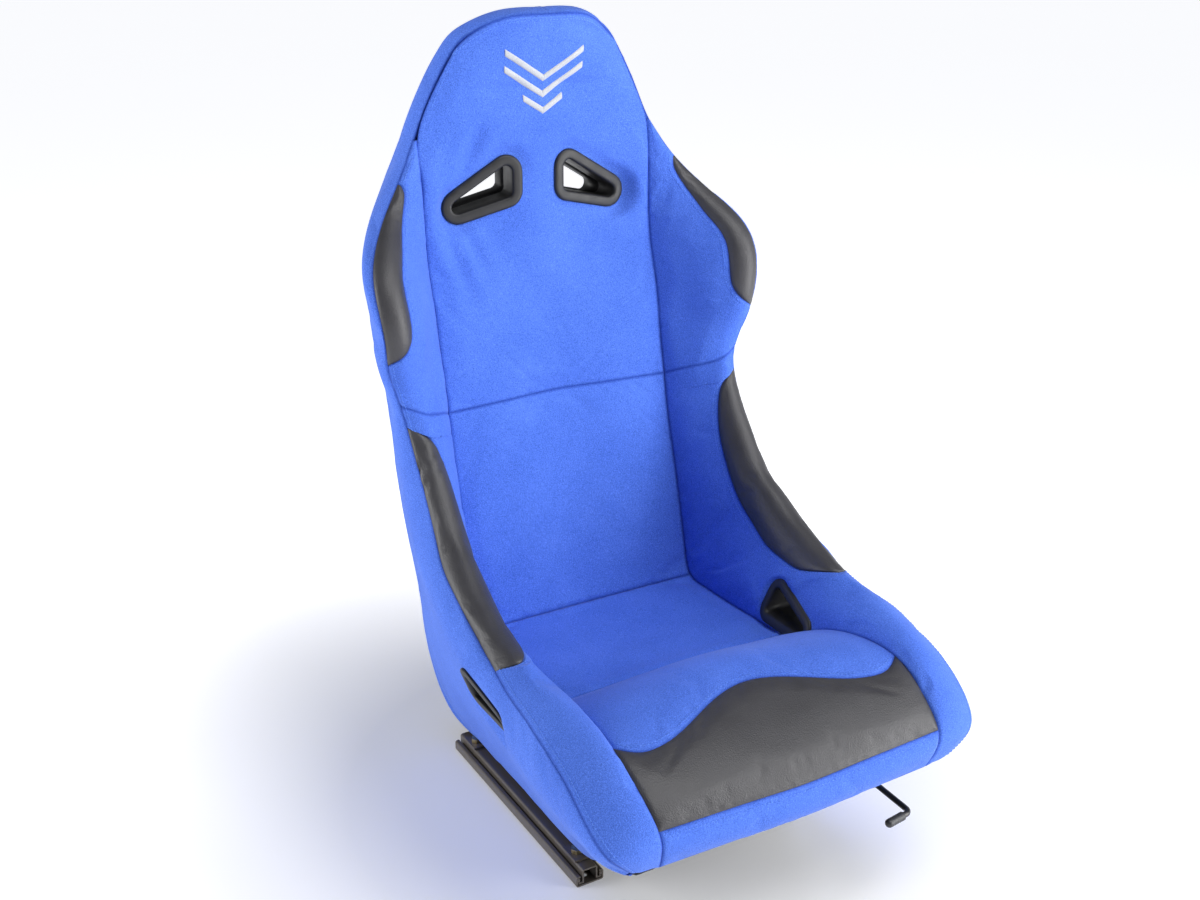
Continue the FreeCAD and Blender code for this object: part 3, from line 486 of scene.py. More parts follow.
SIDE_NAME = {1: "right", -1: "left"}
TOP_ROW = 0.02         # where the head's panels start, just below the crown's middle


def make_panels():
    panels = [centre_panel("back_upper", TOP_ROW, WAIST), centre_panel("back_lower", WAIST, CORNER),
              centre_panel("seat_base", CORNER, ROLL), centre_panel("front_roll", ROLL, wave),
              centre_panel("front_insert", wave, LIP, puff=0.002),
              centre_panel("front_strip", LIP, LAST, puff=0.001)]
    for side in (1, -1):
        panels += [bolster_panel(side), patch_panel("shoulder_patch_", SHOULDER_EDGE, side),
                   patch_panel("thigh_patch_", THIGH_EDGE, side), side_panel(side)]
    panels += [rear_panel("rear", TOP_ROW, UNDER), rear_panel("underside", UNDER, LAST)]
    return {p.name: p for p in panels}


# ---- soft detail
def soft_noise(points, scale, seed=0):
    """Smooth noise at each point, between about -1 and 1."""
    flat = points.reshape(-1, 3) * scale
    values = [noise.noise(Vector((p[0] + seed * 7.3, p[1] - seed * 3.1, p[2] + seed))) for p in flat]
    return np.array(values).reshape(points.shape[:-1])


def crease(panel, start, end, width, depth):
    """A soft fold along a line between two points in the seat's frame."""
    flat = panel.front.reshape(-1, 3)
    a, b = (flat[np.argmin(np.linalg.norm(flat - point, axis=1))] for point in (start, end))
    along = b - a
    f = np.clip(((panel.front - a) @ along) / (along @ along), 0.0, 1.0)
    off = np.linalg.norm(panel.front - a - f[..., None] * along, axis=-1)
    taper = np.sin(np.clip(f, 0.02, 0.98) * math.pi) ** 0.5
    near = np.abs(off) < 6.0 * width
    shape = np.exp(-(off / width) ** 2) - 0.5 * np.exp(-((off - 2.0 * width) / width) ** 2)
    panel.lift(np.where(near, -depth * taper * shape, 0.0))


PUCKER_REACH, PUCKER_START, WOBBLE_START = 0.011, 0.003, 0.012    # metres from the seam


def puckers(panel, amount=0.00028):
    """Small gathers where the thread pulls the fabric in beside the seams."""
    for k, gap in enumerate(panel.gaps):
        line = (panel.front[:, 0], panel.front[:, -1], panel.front[0], panel.front[-1])[k]
        ripple = soft_noise(line, 150.0, k) + 0.6 * soft_noise(line, 330.0, k + 5)
        ripple = ripple[:, None] if k < 2 else ripple[None]
        fade = np.exp(-(gap / PUCKER_REACH) ** 2) * np.clip(gap / PUCKER_START, 0.0, 1.0)
        panel.lift(amount * ripple * fade)


def unevenness(panel, amount=0.0004, stride=3):
    """The slow hand-made wobble of stuffed fabric."""
    coarse = panel.front[::stride, ::stride]
    wobble = soft_noise(coarse, 22.0, 3) + 0.4 * soft_noise(coarse, 60.0, 8)
    full = spread(wobble[..., None], stride, panel.seam.shape)[..., 0]
    panel.lift(amount * full * np.clip(panel.seam / WOBBLE_START, 0.0, 1.0))


def spread(coarse, stride, shape):
    """A coarse grid of values brought up to the full grid."""
    i, j = (np.minimum(np.arange(n) / stride, m - 1.0) for n, m in zip(shape, coarse.shape))
    i0 = np.minimum(i.astype(int), coarse.shape[0] - 2)
    j0 = np.minimum(j.astype(int), coarse.shape[1] - 2)
    fi, fj = (i - i0)[:, None, None], (j - j0)[None, :, None]
    return ((coarse[i0][:, j0] * (1 - fi) + coarse[i0 + 1][:, j0] * fi) * (1 - fj)
            + (coarse[i0][:, j0 + 1] * (1 - fi) + coarse[i0 + 1][:, j0 + 1] * fi) * fj)


CLOTH_STRIDE = 2
CLOTH_FRAMES = 16
CLOTH_CAPS = {"front_insert": 0.35}    # share of CAP for a panel that stays flatter
CLOTH_SETTINGS = {"quality": 4, "mass": 0.25, "tension_stiffness": 12.0, "compression_stiffness": 12.0,
                  "shear_stiffness": 5.0, "bending_stiffness": 0.3, "use_pressure": True,
                  "uniform_pressure_force": 4.0, "shrink_min": -0.003, "vertex_group_mass": "held"}


def place(name, data):
    """A new object in the scene."""
    obj = bpy.data.objects.new(name, data)
    bpy.context.scene.collection.objects.link(obj)
    return obj


def mesh_object(name, vertices, faces, smooth=True):
    mesh = bpy.data.meshes.new(name)
    mesh.from_pydata([tuple(map(float, v)) for v in vertices], [], [tuple(map(int, f)) for f in faces])
    mesh.validate()
    if smooth:
        mesh.polygons.foreach_set("use_smooth", [True] * len(mesh.polygons))
    return place(name, mesh)


def inflate(panels):
    """Cloth simulation of the sewn panels: seams and backs are held, pressure swells the rest."""
    vertices, faces, held, spans = [], [], [], []
    start = 0
    for panel in panels:
        coarse = panel.front[::CLOTH_STRIDE, ::CLOTH_STRIDE]
        back = coarse - panel.out[::CLOTH_STRIDE, ::CLOTH_STRIDE] * THICK
        rows, cols = coarse.shape[:2]
        count = rows * cols
        border = start + perimeter(rows, cols)
        vertices += [coarse.reshape(-1, 3), back.reshape(-1, 3)]
        faces += [panel.faces(rows, cols, start), panel.faces(rows, cols, start + count)[:, ::-1]]
        faces += [rim_quads(border, count, panel.side)]
        held += list(border) + list(range(start + count, start + 2 * count))
        spans.append((start, count, rows, cols))
        start += 2 * count
    before = np.concatenate(vertices)
    moved = simulated("cloth_in_progress", before, np.concatenate(faces), held)
    for panel, (first, count, rows, cols) in zip(panels, spans):
        shift = (moved - before)[first:first + count]
        size = np.linalg.norm(shift, axis=1, keepdims=True)
        shift = shift * np.minimum(1.0, CAP * CLOTH_CAPS.get(panel.name, 1.0) / np.maximum(size, 1e-9))
        panel.front = panel.front + spread(shift.reshape(rows, cols, 3), CLOTH_STRIDE, panel.front.shape[:2])


def simulated(name, vertices, faces, held):
    """The vertices after the cloth simulation's last frame."""
    obj = mesh_object(name, vertices, faces)
    obj.vertex_groups.new(name="held").add([int(v) for v in held], 1.0, "REPLACE")
    cloth = obj.modifiers.new("Cloth", "CLOTH")
    for setting, value in CLOTH_SETTINGS.items():
        setattr(cloth.settings, setting, value)
    cloth.settings.effector_weights.gravity = 0.0
    cloth.collision_settings.use_collision = False
    cloth.point_cache.frame_start, cloth.point_cache.frame_end = 1, CLOTH_FRAMES
    for step in range(1, CLOTH_FRAMES + 1):
        bpy.context.scene.frame_set(step)
    shown = obj.evaluated_get(bpy.context.evaluated_depsgraph_get()).data
    moved = np.empty(len(shown.vertices) * 3)
    shown.vertices.foreach_get("co", moved)
    bpy.context.scene.frame_set(1)
    bpy.data.objects.remove(obj)
    return moved.reshape(-1, 3)


def perimeter(rows, cols):
    """Indices round the edge of a grid."""
    loop = [(0, j) for j in range(cols)] + [(i, cols - 1) for i in range(1, rows)]
    loop += [(rows - 1, j) for j in range(cols - 2, -1, -1)] + [(i, 0) for i in range(rows - 2, 0, -1)]
    return np.array([i * cols + j for i, j in loop])


def rim_quads(border, count, side):
    after = np.roll(border, -1)
    quads = np.stack([border, after, after + count, border + count], -1)
    return quads if side > 0 else quads[:, ::-1]


# ---- harness openings
SHOULDER_CIRCLES = [(-0.027, 0.0155), (-0.027, -0.007), (0.035, -0.022)]
SHOULDER_R, SHOULDER_AT = 0.008, (0.070, 0.207, 0.742)
SHOULDER_TURN, SHOULDER_DEPTH = math.radians(6.5), 0.062
SIDE_CIRCLES = [(0.026, 0.013), (-0.032, -0.008), (0.029, -0.008)]
SIDE_R, SIDE_AT, SIDE_LEAN = 0.006, (0.172, -0.113, 0.248), math.radians(22.0)
SIDE_IN_X, SIDE_OUT_X, SIDE_MIDDLE = 0.171, 0.241, 0.205
SIDE_RIM = 0.010
INNER_PRESS, OUTER_PRESS = 0.008, 0.020                # how far round a side bezel the fabric is pressed
SHOULDER_CUT, SIDE_CUT = (-0.05, 0.12), (-0.03, 0.13)  # from the bezel's plane, outwards and into the seat
PRESS_DEPTH = 0.05                                     # fabric further than this from the plane stays
PRESS_FLAT = 0.001                                     # how far past the flange it isn't eased yet
CUT_MARGIN = 0.003                                     # between a bezel's sleeve and the cut fabric


def anticlockwise(circles):
    """The circles' centres in anticlockwise order."""
    ring = [np.array(c) for c in circles]
    area = sum(a[0] * b[1] - b[0] * a[1] for a, b in zip(ring, ring[1:] + ring[:1]))
    return ring if area > 0 else ring[::-1]


def outline(circles, r, arc=9):
    """Points round the hull of equal circles, the same number for every radius."""
    points, ring = [], anticlockwise(circles)
    for a, b, c in zip(ring[-1:] + ring[:-1], ring, ring[1:] + ring[:1]):
        turn = [math.atan2(-d[0], d[1]) for d in (unit(b - a), unit(c - b))]
        if turn[1] < turn[0]:
            turn[1] += 2.0 * math.pi
        for angle in np.linspace(turn[0], turn[1], arc):
            points.append(b + r * np.array([math.cos(angle), math.sin(angle)]))
    return np.array(points)


def nearness(circles, r, x, z):
    """Distance from the outline of a hull of circles; negative inside."""
    ring = anticlockwise(circles)
    p = np.stack([x, z], -1)
    best = np.full(x.shape, 1e9)
    inside = np.ones(x.shape, bool)
    for a, b in zip(ring, ring[1:] + ring[:1]):
        d = b - a
        f = np.clip(((p - a) @ d) / (d @ d), 0.0, 1.0)
        best = np.minimum(best, np.linalg.norm(p - a - f[..., None] * d, axis=-1))
        inside &= (d[0] * (p[..., 1] - a[1]) - d[1] * (p[..., 0] - a[0])) > 0
    return np.where(inside, -best, best) - r


class Slot:
    """Where an opening's bezel lies: local x and z in its plane, y into the seat."""

    def __init__(self, circles, r, rim, at, x_axis, y_axis, z_axis):
        self.circles, self.r, self.rim = circles, r, rim
        self.at, self.axes = np.array(at), np.array([x_axis, y_axis, z_axis], float)

    def world(self, x, y, z):
        local = np.stack(np.broadcast_arrays(x, y, z), -1)
        return self.at + local @ self.axes

    def local(self, points):
        return np.linalg.solve(self.axes.T, (points - self.at).reshape(-1, 3).T).T.reshape(points.shape)


def shoulder_slot():
    c, s = math.cos(SHOULDER_TURN), math.sin(SHOULDER_TURN)
    return Slot(SHOULDER_CIRCLES, SHOULDER_R, BEZEL_RIM, SHOULDER_AT, (c, s, 0), (-s, c, 0), (0, 0, 1))


def side_slot(x, inward):
    """Local x runs to the rear and local z up the leaning plane, both projected along X."""
    lean = math.tan(SIDE_LEAN)
    at = (x, SIDE_AT[1], SIDE_AT[2])
    return Slot(SIDE_CIRCLES, SIDE_R, SIDE_RIM, at, (0, 1, 0), (inward, 0, 0), (lean, 0, 1))


SHOULDER_FRONT = shoulder_slot()
SHOULDER_REAR = shoulder_slot()
SHOULDER_REAR.at = SHOULDER_FRONT.world(0.0, SHOULDER_DEPTH, 0.0)
SHOULDER_REAR.axes = SHOULDER_FRONT.axes * np.array([[1], [-1], [1]])
SIDE_INNER, SIDE_OUTER = side_slot(SIDE_IN_X, 1), side_slot(SIDE_OUT_X, -1)


def press(panel, slot, reach=0.018, sink=0.0006):
    """Brings the fabric to the back of a bezel's flange and eases it off round about."""
    for side in (1, -1):
        points = panel.front if side > 0 else flip(panel.front)
        local = slot.local(points)
        off = nearness(slot.circles, slot.r, local[..., 0], local[..., 2]) - slot.rim
        near = (np.abs(local[..., 1]) < PRESS_DEPTH) & (off < reach)
        ease = eased(1.0 - np.clip((off + PRESS_FLAT) / reach, 0.0, 1.0)) * near
        local[..., 1] += (sink - local[..., 1]) * ease
        points = slot.at + local @ slot.axes
        panel.front = points if side > 0 else flip(points)


def opening_cutter(name, slot, y0, y1):
    """Prisms through the seat's two sides, a little wider than the bezels' sleeves."""
    ring = outline(slot.circles, slot.r + SLEEVE + CUT_MARGIN)
    ends = np.concatenate([slot.world(ring[:, 0], y, ring[:, 1]) for y in (y0, y1)])
    faces = ring_faces(2, len(ring)) + ring_faces(2, len(ring), len(ends))
    obj = mesh_object(name, np.concatenate([ends, flip(ends)]), faces, False)
    face_outwards(obj)
    return obj


def face_outwards(obj):
    fix = bmesh.new()
    fix.from_mesh(obj.data)
    bmesh.ops.recalc_face_normals(fix, faces=fix.faces)
    fix.to_mesh(obj.data)
    fix.free()


def cut_openings(obj, cutter):
    cut = obj.modifiers.new("opening", "BOOLEAN")
    cut.operation, cut.solver, cut.object = "DIFFERENCE", "EXACT", cutter
    cut.use_hole_tolerant = cut.use_self = True
    shown = obj.evaluated_get(bpy.context.evaluated_depsgraph_get())
    mesh = bpy.data.meshes.new_from_object(shown)
    obj.modifiers.clear()
    obj.data = mesh


# ---- bezels, stitches, mark, grip
def ring_faces(rings, m, first=0, closed=False):
    """Quads between rings of m points; closed joins the last ring to the first, or both ends are capped."""
    faces = []
    for i in range(rings if closed else rings - 1):
        row, after = first + i * m, first + (i + 1) % rings * m
        faces += [(row + k, row + (k + 1) % m, after + (k + 1) % m, after + k) for k in range(m)]
    if not closed:
        last = first + (rings - 1) * m
        faces += [tuple(range(first, first + m))[::-1], tuple(range(last, last + m))]
    return faces


def loft(name, rings, closed=True, side=1):
    """A skin over rings of equal count."""
    vertices = np.concatenate(rings)
    faces = ring_faces(len(rings), len(rings[0]), 0, closed)
    obj = mesh_object(name, vertices if side > 0 else flip(vertices), faces)
    face_outwards(obj)
    return obj


# (distance out from the opening, depth behind the flange's back): a rounded flange, then the sleeve
FLANGE = [(0.0, 0.004), (0.0, 0.0005), (0.0002, -0.0012), (0.0009, -0.0026), (0.0022, -0.0034),
          (0.0040, -0.0036), (0.0076, -0.0036), (0.0106, -0.0034), (0.0122, -0.0028), (0.0131, -0.0015),
          (0.0133, 0.0002), (0.0131, 0.0014), (0.0050, 0.0014), (0.0030, 0.0020), (0.0030, 0.006)]


def bezel(name, slot, middle, side):
    """middle gives the last ring of the sleeve for a ring of (x, z) points."""
    scale = slot.rim / BEZEL_RIM
    rings = []
    for grow, depth in FLANGE:
        ring = outline(slot.circles, slot.r + grow * (scale if grow > SLEEVE else 1.0))
        rings.append(slot.world(ring[:, 0], depth, ring[:, 1]))
    rings += [middle(outline(slot.circles, slot.r + grow)) for grow in (SLEEVE, 0.0)]
    return loft(name, rings, True, side)


def shoulder_middle(slot):
    return lambda ring: slot.world(ring[:, 0], SHOULDER_DEPTH / 2.0 - SLEEVE_GAP, ring[:, 1])


def side_middle(slot, x):
    def at(ring):
        points = slot.world(ring[:, 0], 0.0, ring[:, 1])
        points[:, 0] = x
        return points
    return at


SLEEVE_GAP = 0.0003    # between the middle of an opening and each of its two sleeves
BEZELS = {
    "shoulder_front": (SHOULDER_FRONT, shoulder_middle(SHOULDER_FRONT)),
    "shoulder_rear": (SHOULDER_REAR, shoulder_middle(SHOULDER_REAR)),
    "side_inner": (SIDE_INNER, side_middle(SIDE_INNER, SIDE_MIDDLE - SLEEVE_GAP)),
    "side_outer": (SIDE_OUTER, side_middle(SIDE_OUTER, SIDE_MIDDLE + SLEEVE_GAP)),
}


def beside(panel, edge, distance, end=1.0):
    """Points and normals along a line at a distance from one edge of a panel."""
    front, out = panel.front, panel.out
    if edge in (2, 3):
        front, out = front.transpose(1, 0, 2), out.transpose(1, 0, 2)
    if edge in (1, 3):
        front, out = front[:, ::-1], out[:, ::-1]
    far = lengths(front, 1)
    points, normals = [], []
    for i in range(int(end * (len(front) - 1)) + 1):
        if far[i, -1] < 2.0 * distance:
            continue
        k = np.interp(distance, far[i], np.arange(far.shape[1]))
        j, f = int(k), k - int(k)
        points.append(front[i, j] * (1 - f) + front[i, j + 1] * f)
        normals.append(out[i, j] * (1 - f) + out[i, j + 1] * f)
    return np.array(points), unit(np.array(normals))


STITCH, PITCH, THREAD = 0.0034, 0.0046, 0.00042
STITCH_ARC = [(-0.5, -0.9), (-0.38, 0.25), (0.0, 0.75), (0.38, 0.25), (0.5, -0.9)]    # along, and up
THREAD_SIDES = 6


def on_line(s, far, values):
    """The values a distance s along a line."""
    return np.array([np.interp(s, far, column) for column in values.T])


def stitches(name, lines):
    """Rows of thread dashes lying on the fabric, each end going down into it."""
    vertices, faces = [], []
    around = [(math.cos(a), math.sin(a)) for a in np.arange(THREAD_SIDES) * 2.0 * math.pi / THREAD_SIDES]
    for points, normals in lines:
        far = distances(points)
        for s in np.arange(PITCH, far[-1] - PITCH, PITCH):
            at = on_line(s, far, points)
            along = unit(on_line(s + 0.001, far, points) - at)
            up = unit(on_line(s, far, normals))
            across = np.cross(up, along)
            faces += ring_faces(len(STITCH_ARC), THREAD_SIDES, len(vertices))
            for f, lift in STITCH_ARC:
                centre = at + along * STITCH * f + up * THREAD * lift
                vertices += [centre + (across * c + up * w) * THREAD for c, w in around]
    return mesh_object(name, vertices, faces)


# ends of each bar of the embroidered mark, (x, height) on the headrest in metres
MARK_BARS = [((-0.052, 0.900), (0.0, 0.868)), ((0.0, 0.868), (0.052, 0.900)),
             ((-0.052, 0.881), (0.0, 0.849)), ((0.0, 0.849), (0.052, 0.881)),
             ((-0.026, 0.846), (0.0, 0.830)), ((0.0, 0.830), (0.026, 0.846))]
BAR_WIDTH, BAR_HEIGHT = 0.0085, 0.0011
BAR_PROFILE = [(-0.5, -0.4), (-0.44, 0.45), (-0.22, 0.9), (0.0, 1.0), (0.22, 0.9), (0.44, 0.45), (0.5, -0.4)]
THREAD_PITCH = 0.0011


def on_panel(panel, x, z, neighbours=6):
    """The point of a panel's front nearest a place (x, z) seen from the front, and its normal."""
    flat = panel.front.reshape(-1, 3)
    gap = (flat[:, 0] - x) ** 2 + (flat[:, 2] - z) ** 2
    near = np.argsort(gap)[:neighbours]
    weight = 1.0 / (gap[near] + 1e-8)
    weight /= weight.sum()
    point = (flat[near] * weight[:, None]).sum(0)
    normal = unit((panel.out.reshape(-1, 3)[near] * weight[:, None]).sum(0))
    return np.array([x, point[1], z]), normal


def mark(panel):
    """Satin-stitched chevrons: raised bars of thread laid across each stroke."""
    vertices, faces = [], []
    for a, b in MARK_BARS:
        a, b = np.array(a), np.array(b)
        count = int(np.linalg.norm(b - a) / THREAD_PITCH)
        faces += ring_faces(count + 1, len(BAR_PROFILE), len(vertices))
        for i in range(count + 1):
            x, z = a + (b - a) * i / count
            ridge = 1.0 if i % 2 else 0.8
            for w, h in BAR_PROFILE:
                p, n = on_panel(panel, x, z + w * BAR_WIDTH)
                vertices.append(p + n * BAR_HEIGHT * h * ridge)
    obj = mesh_object("headrest_mark", vertices, faces)
    face_outwards(obj)
    return obj


GRIP_END, GRIP_BACK, GRIP_R = (0.1310, -0.3593, 0.104), (0.1585, -0.3556, 0.104), 0.0052
GROOVE_PITCH, GROOVE_SHARE = 0.0042, 0.035    # of the finger grooves; their depth as a share of the radius


def grip():
    """A moulded sleeve with a rounded nose and shallow finger grooves."""
    end, back = np.array(GRIP_END), np.array(GRIP_BACK)
    along = unit(end - back)
    length = np.linalg.norm(end - back)
    up = np.array([0.0, 0.0, 1.0])
    across = np.cross(along, up)
    profile = [(0.0, 0.72), (0.0002, 0.88), (0.0009, 0.98)]
    for s in np.linspace(0.003, length - 0.0045, 25):
        profile.append((s, 1.0 - GROOVE_SHARE * (0.5 - 0.5 * math.cos(s * 2.0 * math.pi / GROOVE_PITCH))))
    profile += [(length - GRIP_R * (1.0 - math.sin(a)), math.cos(a)) for a in np.linspace(0.25, 1.45, 7)]
    angles = np.linspace(0.0, 2.0 * math.pi, 28, endpoint=False)
    around = [across * math.cos(a) + up * math.sin(a) for a in angles]
    rings = [np.array([back + along * s + way * GRIP_R * r for way in around]) for s, r in profile]
    return loft("lever_grip_moulded", rings, False)


# ---- materials
class Shader:
    """A Principled material built up a node at a time."""

    def __init__(self, name, **sockets):
        self.material = bpy.data.materials.new(name)
        self.material.use_nodes = True
        self.nodes, self.links = self.material.node_tree.nodes, self.material.node_tree.links
        self.surface = self.nodes["Principled BSDF"]
        for socket, value in sockets.items():
            self.surface.inputs[socket.replace("_", " ")].default_value = value
        self.where = self.add("ShaderNodeTexCoord").outputs["Object"]

    def add(self, kind, **settings):
        node = self.nodes.new(kind)
        for key, value in settings.items():
            if key in node.inputs:
                node.inputs[key].default_value = value
            else:
                setattr(node, key, value)
        return node

    def link(self, a, b):
        self.links.new(a, b)

    def feed(self, node, socket, value):
        """A socket takes a number, a colour or another node's output."""
        if isinstance(value, (float, tuple)):
            node.inputs[socket].default_value = value + (1.0,) if isinstance(value, tuple) else value
        else:
            self.link(value, node.inputs[socket])

    def texture(self, kind, stretch, **settings):
        node = self.add(kind, **settings)
        self.link(self.spot(stretch), node.inputs["Vector"])
        return node.outputs

    def noise(self, scale, detail=3.0, roughness=0.55, stretch=None):
        found = self.texture("ShaderNodeTexNoise", stretch, Scale=scale, Detail=detail, Roughness=roughness)
        return found["Fac"]

    def cells(self, scale, stretch=None, feature="F1"):
        return self.texture("ShaderNodeTexVoronoi", stretch, Scale=scale, feature=feature)["Distance"]

    def spot(self, stretch):
        if stretch is None:
            return self.where
        mapping = self.add("ShaderNodeMapping")
        mapping.inputs["Scale"].default_value = stretch
        self.link(self.where, mapping.inputs["Vector"])
        return mapping.outputs["Vector"]

    def ramp(self, source, stops):
        node = self.add("ShaderNodeValToRGB")
        elements = node.color_ramp.elements
        for k in (0, -1):
            elements[k].position, elements[k].color = stops[k][0], stops[k][1] + (1.0,)
        for position, colour in stops[1:-1]:
            elements.new(position).color = colour + (1.0,)
        self.link(source, node.inputs["Fac"])
        return node.outputs["Color"]

    def distance(self):
        node = self.add("ShaderNodeVectorMath", operation="LENGTH")
        self.link(self.where, node.inputs[0])
        return node.outputs["Value"]

    def span(self, source, low, high, from_low=0.0, from_high=1.0):
        node = self.add("ShaderNodeMapRange")
        for key, value in zip(("From Min", "From Max", "To Min", "To Max"), (from_low, from_high, low, high)):
            node.inputs[key].default_value = value
        self.link(source, node.inputs["Value"])
        return node.outputs["Result"]

    def mixed(self, a, share_a, b, share_b):
        """Two values added, each times its share."""
        return self.math("ADD", self.math("MULTIPLY", a, share_a), self.math("MULTIPLY", b, share_b))

    def math(self, operation, a, b):
        node = self.add("ShaderNodeMath", operation=operation)
        self.feed(node, 0, a)
        self.feed(node, 1, b)
        return node.outputs["Value"]

    def blend(self, a, b, factor, mode="MIX"):
        node = self.add("ShaderNodeMix", data_type="RGBA", blend_type=mode)
        for k, value in ((0, factor), (6, a), (7, b)):
            self.feed(node, k, value)
        return node.outputs[2]

    def attribute(self, name):
        return self.add("ShaderNodeAttribute", attribute_name=name).outputs["Fac"]

    def bump(self, height, distance, strength=1.0, before=None):
        node = self.add("ShaderNodeBump", Strength=strength, Distance=distance)
        self.link(height, node.inputs["Height"])
        if before is not None:
            self.link(before, node.inputs["Normal"])
        return node.outputs["Normal"]

    def finish(self, colour=None, roughness=None, normal=None):
        for socket, value in (("Base Color", colour), ("Roughness", roughness), ("Normal", normal)):
            if value is not None:
                self.link(value, self.surface.inputs[socket])
        return self.material


SEAM_SHADE, SEAM_SHADE_REACH = (0.36, 0.44, 0.62), 0.0032    # painted shade in the seam grooves: what seams keep of the colour; metres


def fabric(name, dark, mid, light):
    """Brushed knit: fine loops, fibre fuzz, slow changes of tone, and painted shade where it dips at a seam.
    """
    s = Shader(name, Sheen_Weight=0.25, Sheen_Roughness=0.35, Sheen_Tint=(0.62, 0.74, 1.0, 1.0),
               Specular_IOR_Level=0.25)
    speck = s.noise(900.0, 2.0, 0.7)
    slow = s.noise(14.0, 3.0)
    colour = s.ramp(s.mixed(speck, 0.85, slow, 0.15), [(0.32, dark), (0.5, mid), (0.70, light)])
    # painted shade: the colour is darkened within a few millimetres of each seam
    near = s.span(s.attribute("seam"), 0.0, 1.0, 0.0, SEAM_SHADE_REACH)
    shade = s.ramp(near, [(0.0, SEAM_SHADE), (1.0, (1.0, 1.0, 1.0))])
    colour = s.blend(colour, shade, 1.0, "MULTIPLY")
    loops = s.bump(s.cells(700.0, (1.0, 1.0, 0.7)), 0.00035, 0.8)
    fuzz = s.bump(s.noise(1500.0, 2.0, 0.8), 0.00025, 0.6, loops)
    soft = s.bump(s.noise(90.0, 3.0), 0.0007, 0.5, fuzz)
    return s.finish(colour, s.span(speck, 0.82, 0.98), soft)


def leather(name):
    s = Shader(name, Specular_IOR_Level=0.5)
    tone = s.noise(30.0, 4.0)
    colour = s.ramp(tone, [(0.3, (0.042, 0.041, 0.046)), (0.8, (0.052, 0.051, 0.057))])
    grain = s.cells(720.0, None, "SMOOTH_F1")
    pores = s.bump(grain, 0.0005, 0.55)
    folds = s.bump(s.noise(140.0, 4.0, 0.6), 0.0003, 0.3, pores)
    rough = s.math("ADD", s.span(tone, 0.38, 0.44, 0.3, 0.7), s.span(grain, 0.0, 0.08))
    return s.finish(colour, rough, folds)


def moulded(name, base, rough=0.46):
    s = Shader(name, Specular_IOR_Level=0.45)
    tone = s.noise(60.0, 3.0)
    lighter = tuple(c * 1.7 for c in base)
    colour = s.ramp(tone, [(0.3, base), (0.75, lighter)])
    spark = s.bump(s.noise(1300.0, 3.0, 0.6), 0.00012, 0.5)
    return s.finish(colour, s.span(tone, rough - 0.06, rough + 0.08, 0.3, 0.7), spark)


def painted(name, base, rough=0.34):
    """Sprayed paint with fine orange peel; thin and brownish where corners have rubbed."""
    s = Shader(name, Specular_IOR_Level=0.5, Coat_Weight=0.15, Coat_Roughness=0.25)
    dust = s.noise(25.0, 5.0, 0.7)
    edge = s.add("ShaderNodeNewGeometry").outputs["Pointiness"]
    worn = s.span(s.math("ADD", edge, s.math("MULTIPLY", dust, 0.10)), 0.0, 1.0, 0.58, 0.66)
    paint = s.ramp(dust, [(0.3, base), (0.8, tuple(c * 2.2 for c in base))])
    colour = s.blend(paint, (0.10, 0.085, 0.07), worn)
    peel = s.bump(s.noise(420.0, 2.0), 0.00012, 0.5)
    return s.finish(colour, s.span(dust, rough - 0.05, rough + 0.14, 0.3, 0.7), peel)


def metal(name, low, high, rough, stretch):
    s = Shader(name, Metallic=1.0)
    brushed = s.noise(260.0, 4.0, 0.6, stretch)
    spots = s.noise(45.0, 4.0)
    colour = s.ramp(s.mixed(brushed, 0.5, spots, 0.5), [(0.35, low), (0.65, high)])
    return s.finish(colour, s.span(brushed, rough - 0.08, rough + 0.12), s.bump(brushed, 0.00008, 0.6))


def foam_material(name):
    s = Shader(name)
    bubbles = s.cells(420.0)
    colour = s.ramp(bubbles, [(0.1, (0.42, 0.38, 0.26)), (0.7, (0.62, 0.58, 0.42))])
    return s.finish(colour, s.span(bubbles, 0.85, 0.97), s.bump(bubbles, 0.0008, 0.8))


def thread(name, low, high):
    s = Shader(name, Sheen_Weight=0.3)
    twist = s.noise(2200.0, 2.0, 0.6)
    colour = s.ramp(twist, [(0.3, low), (0.7, high)])
    return s.finish(colour, s.span(twist, 0.45, 0.65), s.bump(twist, 0.00012, 0.7))


def cloth_black(name):
    """Black non-woven dust cloth: pressed fibres with a fine dimple pattern."""
    s = Shader(name, Specular_IOR_Level=0.2)
    fibres = s.noise(500.0, 4.0, 0.75, (1.0, 0.3, 1.0))
    dimples = s.cells(260.0)
    colour = s.ramp(fibres, [(0.3, (0.010, 0.010, 0.011)), (0.75, (0.036, 0.036, 0.040))])
    fuzz = s.bump(fibres, 0.0003, 0.6)
    return s.finish(colour, s.span(fibres, 0.75, 0.95), s.bump(dimples, 0.0005, 0.6, fuzz))


BLUE_DARK, BLUE_MID, BLUE_LIGHT = (0.034, 0.096, 0.46), (0.072, 0.170, 0.71), (0.138, 0.280, 0.90)
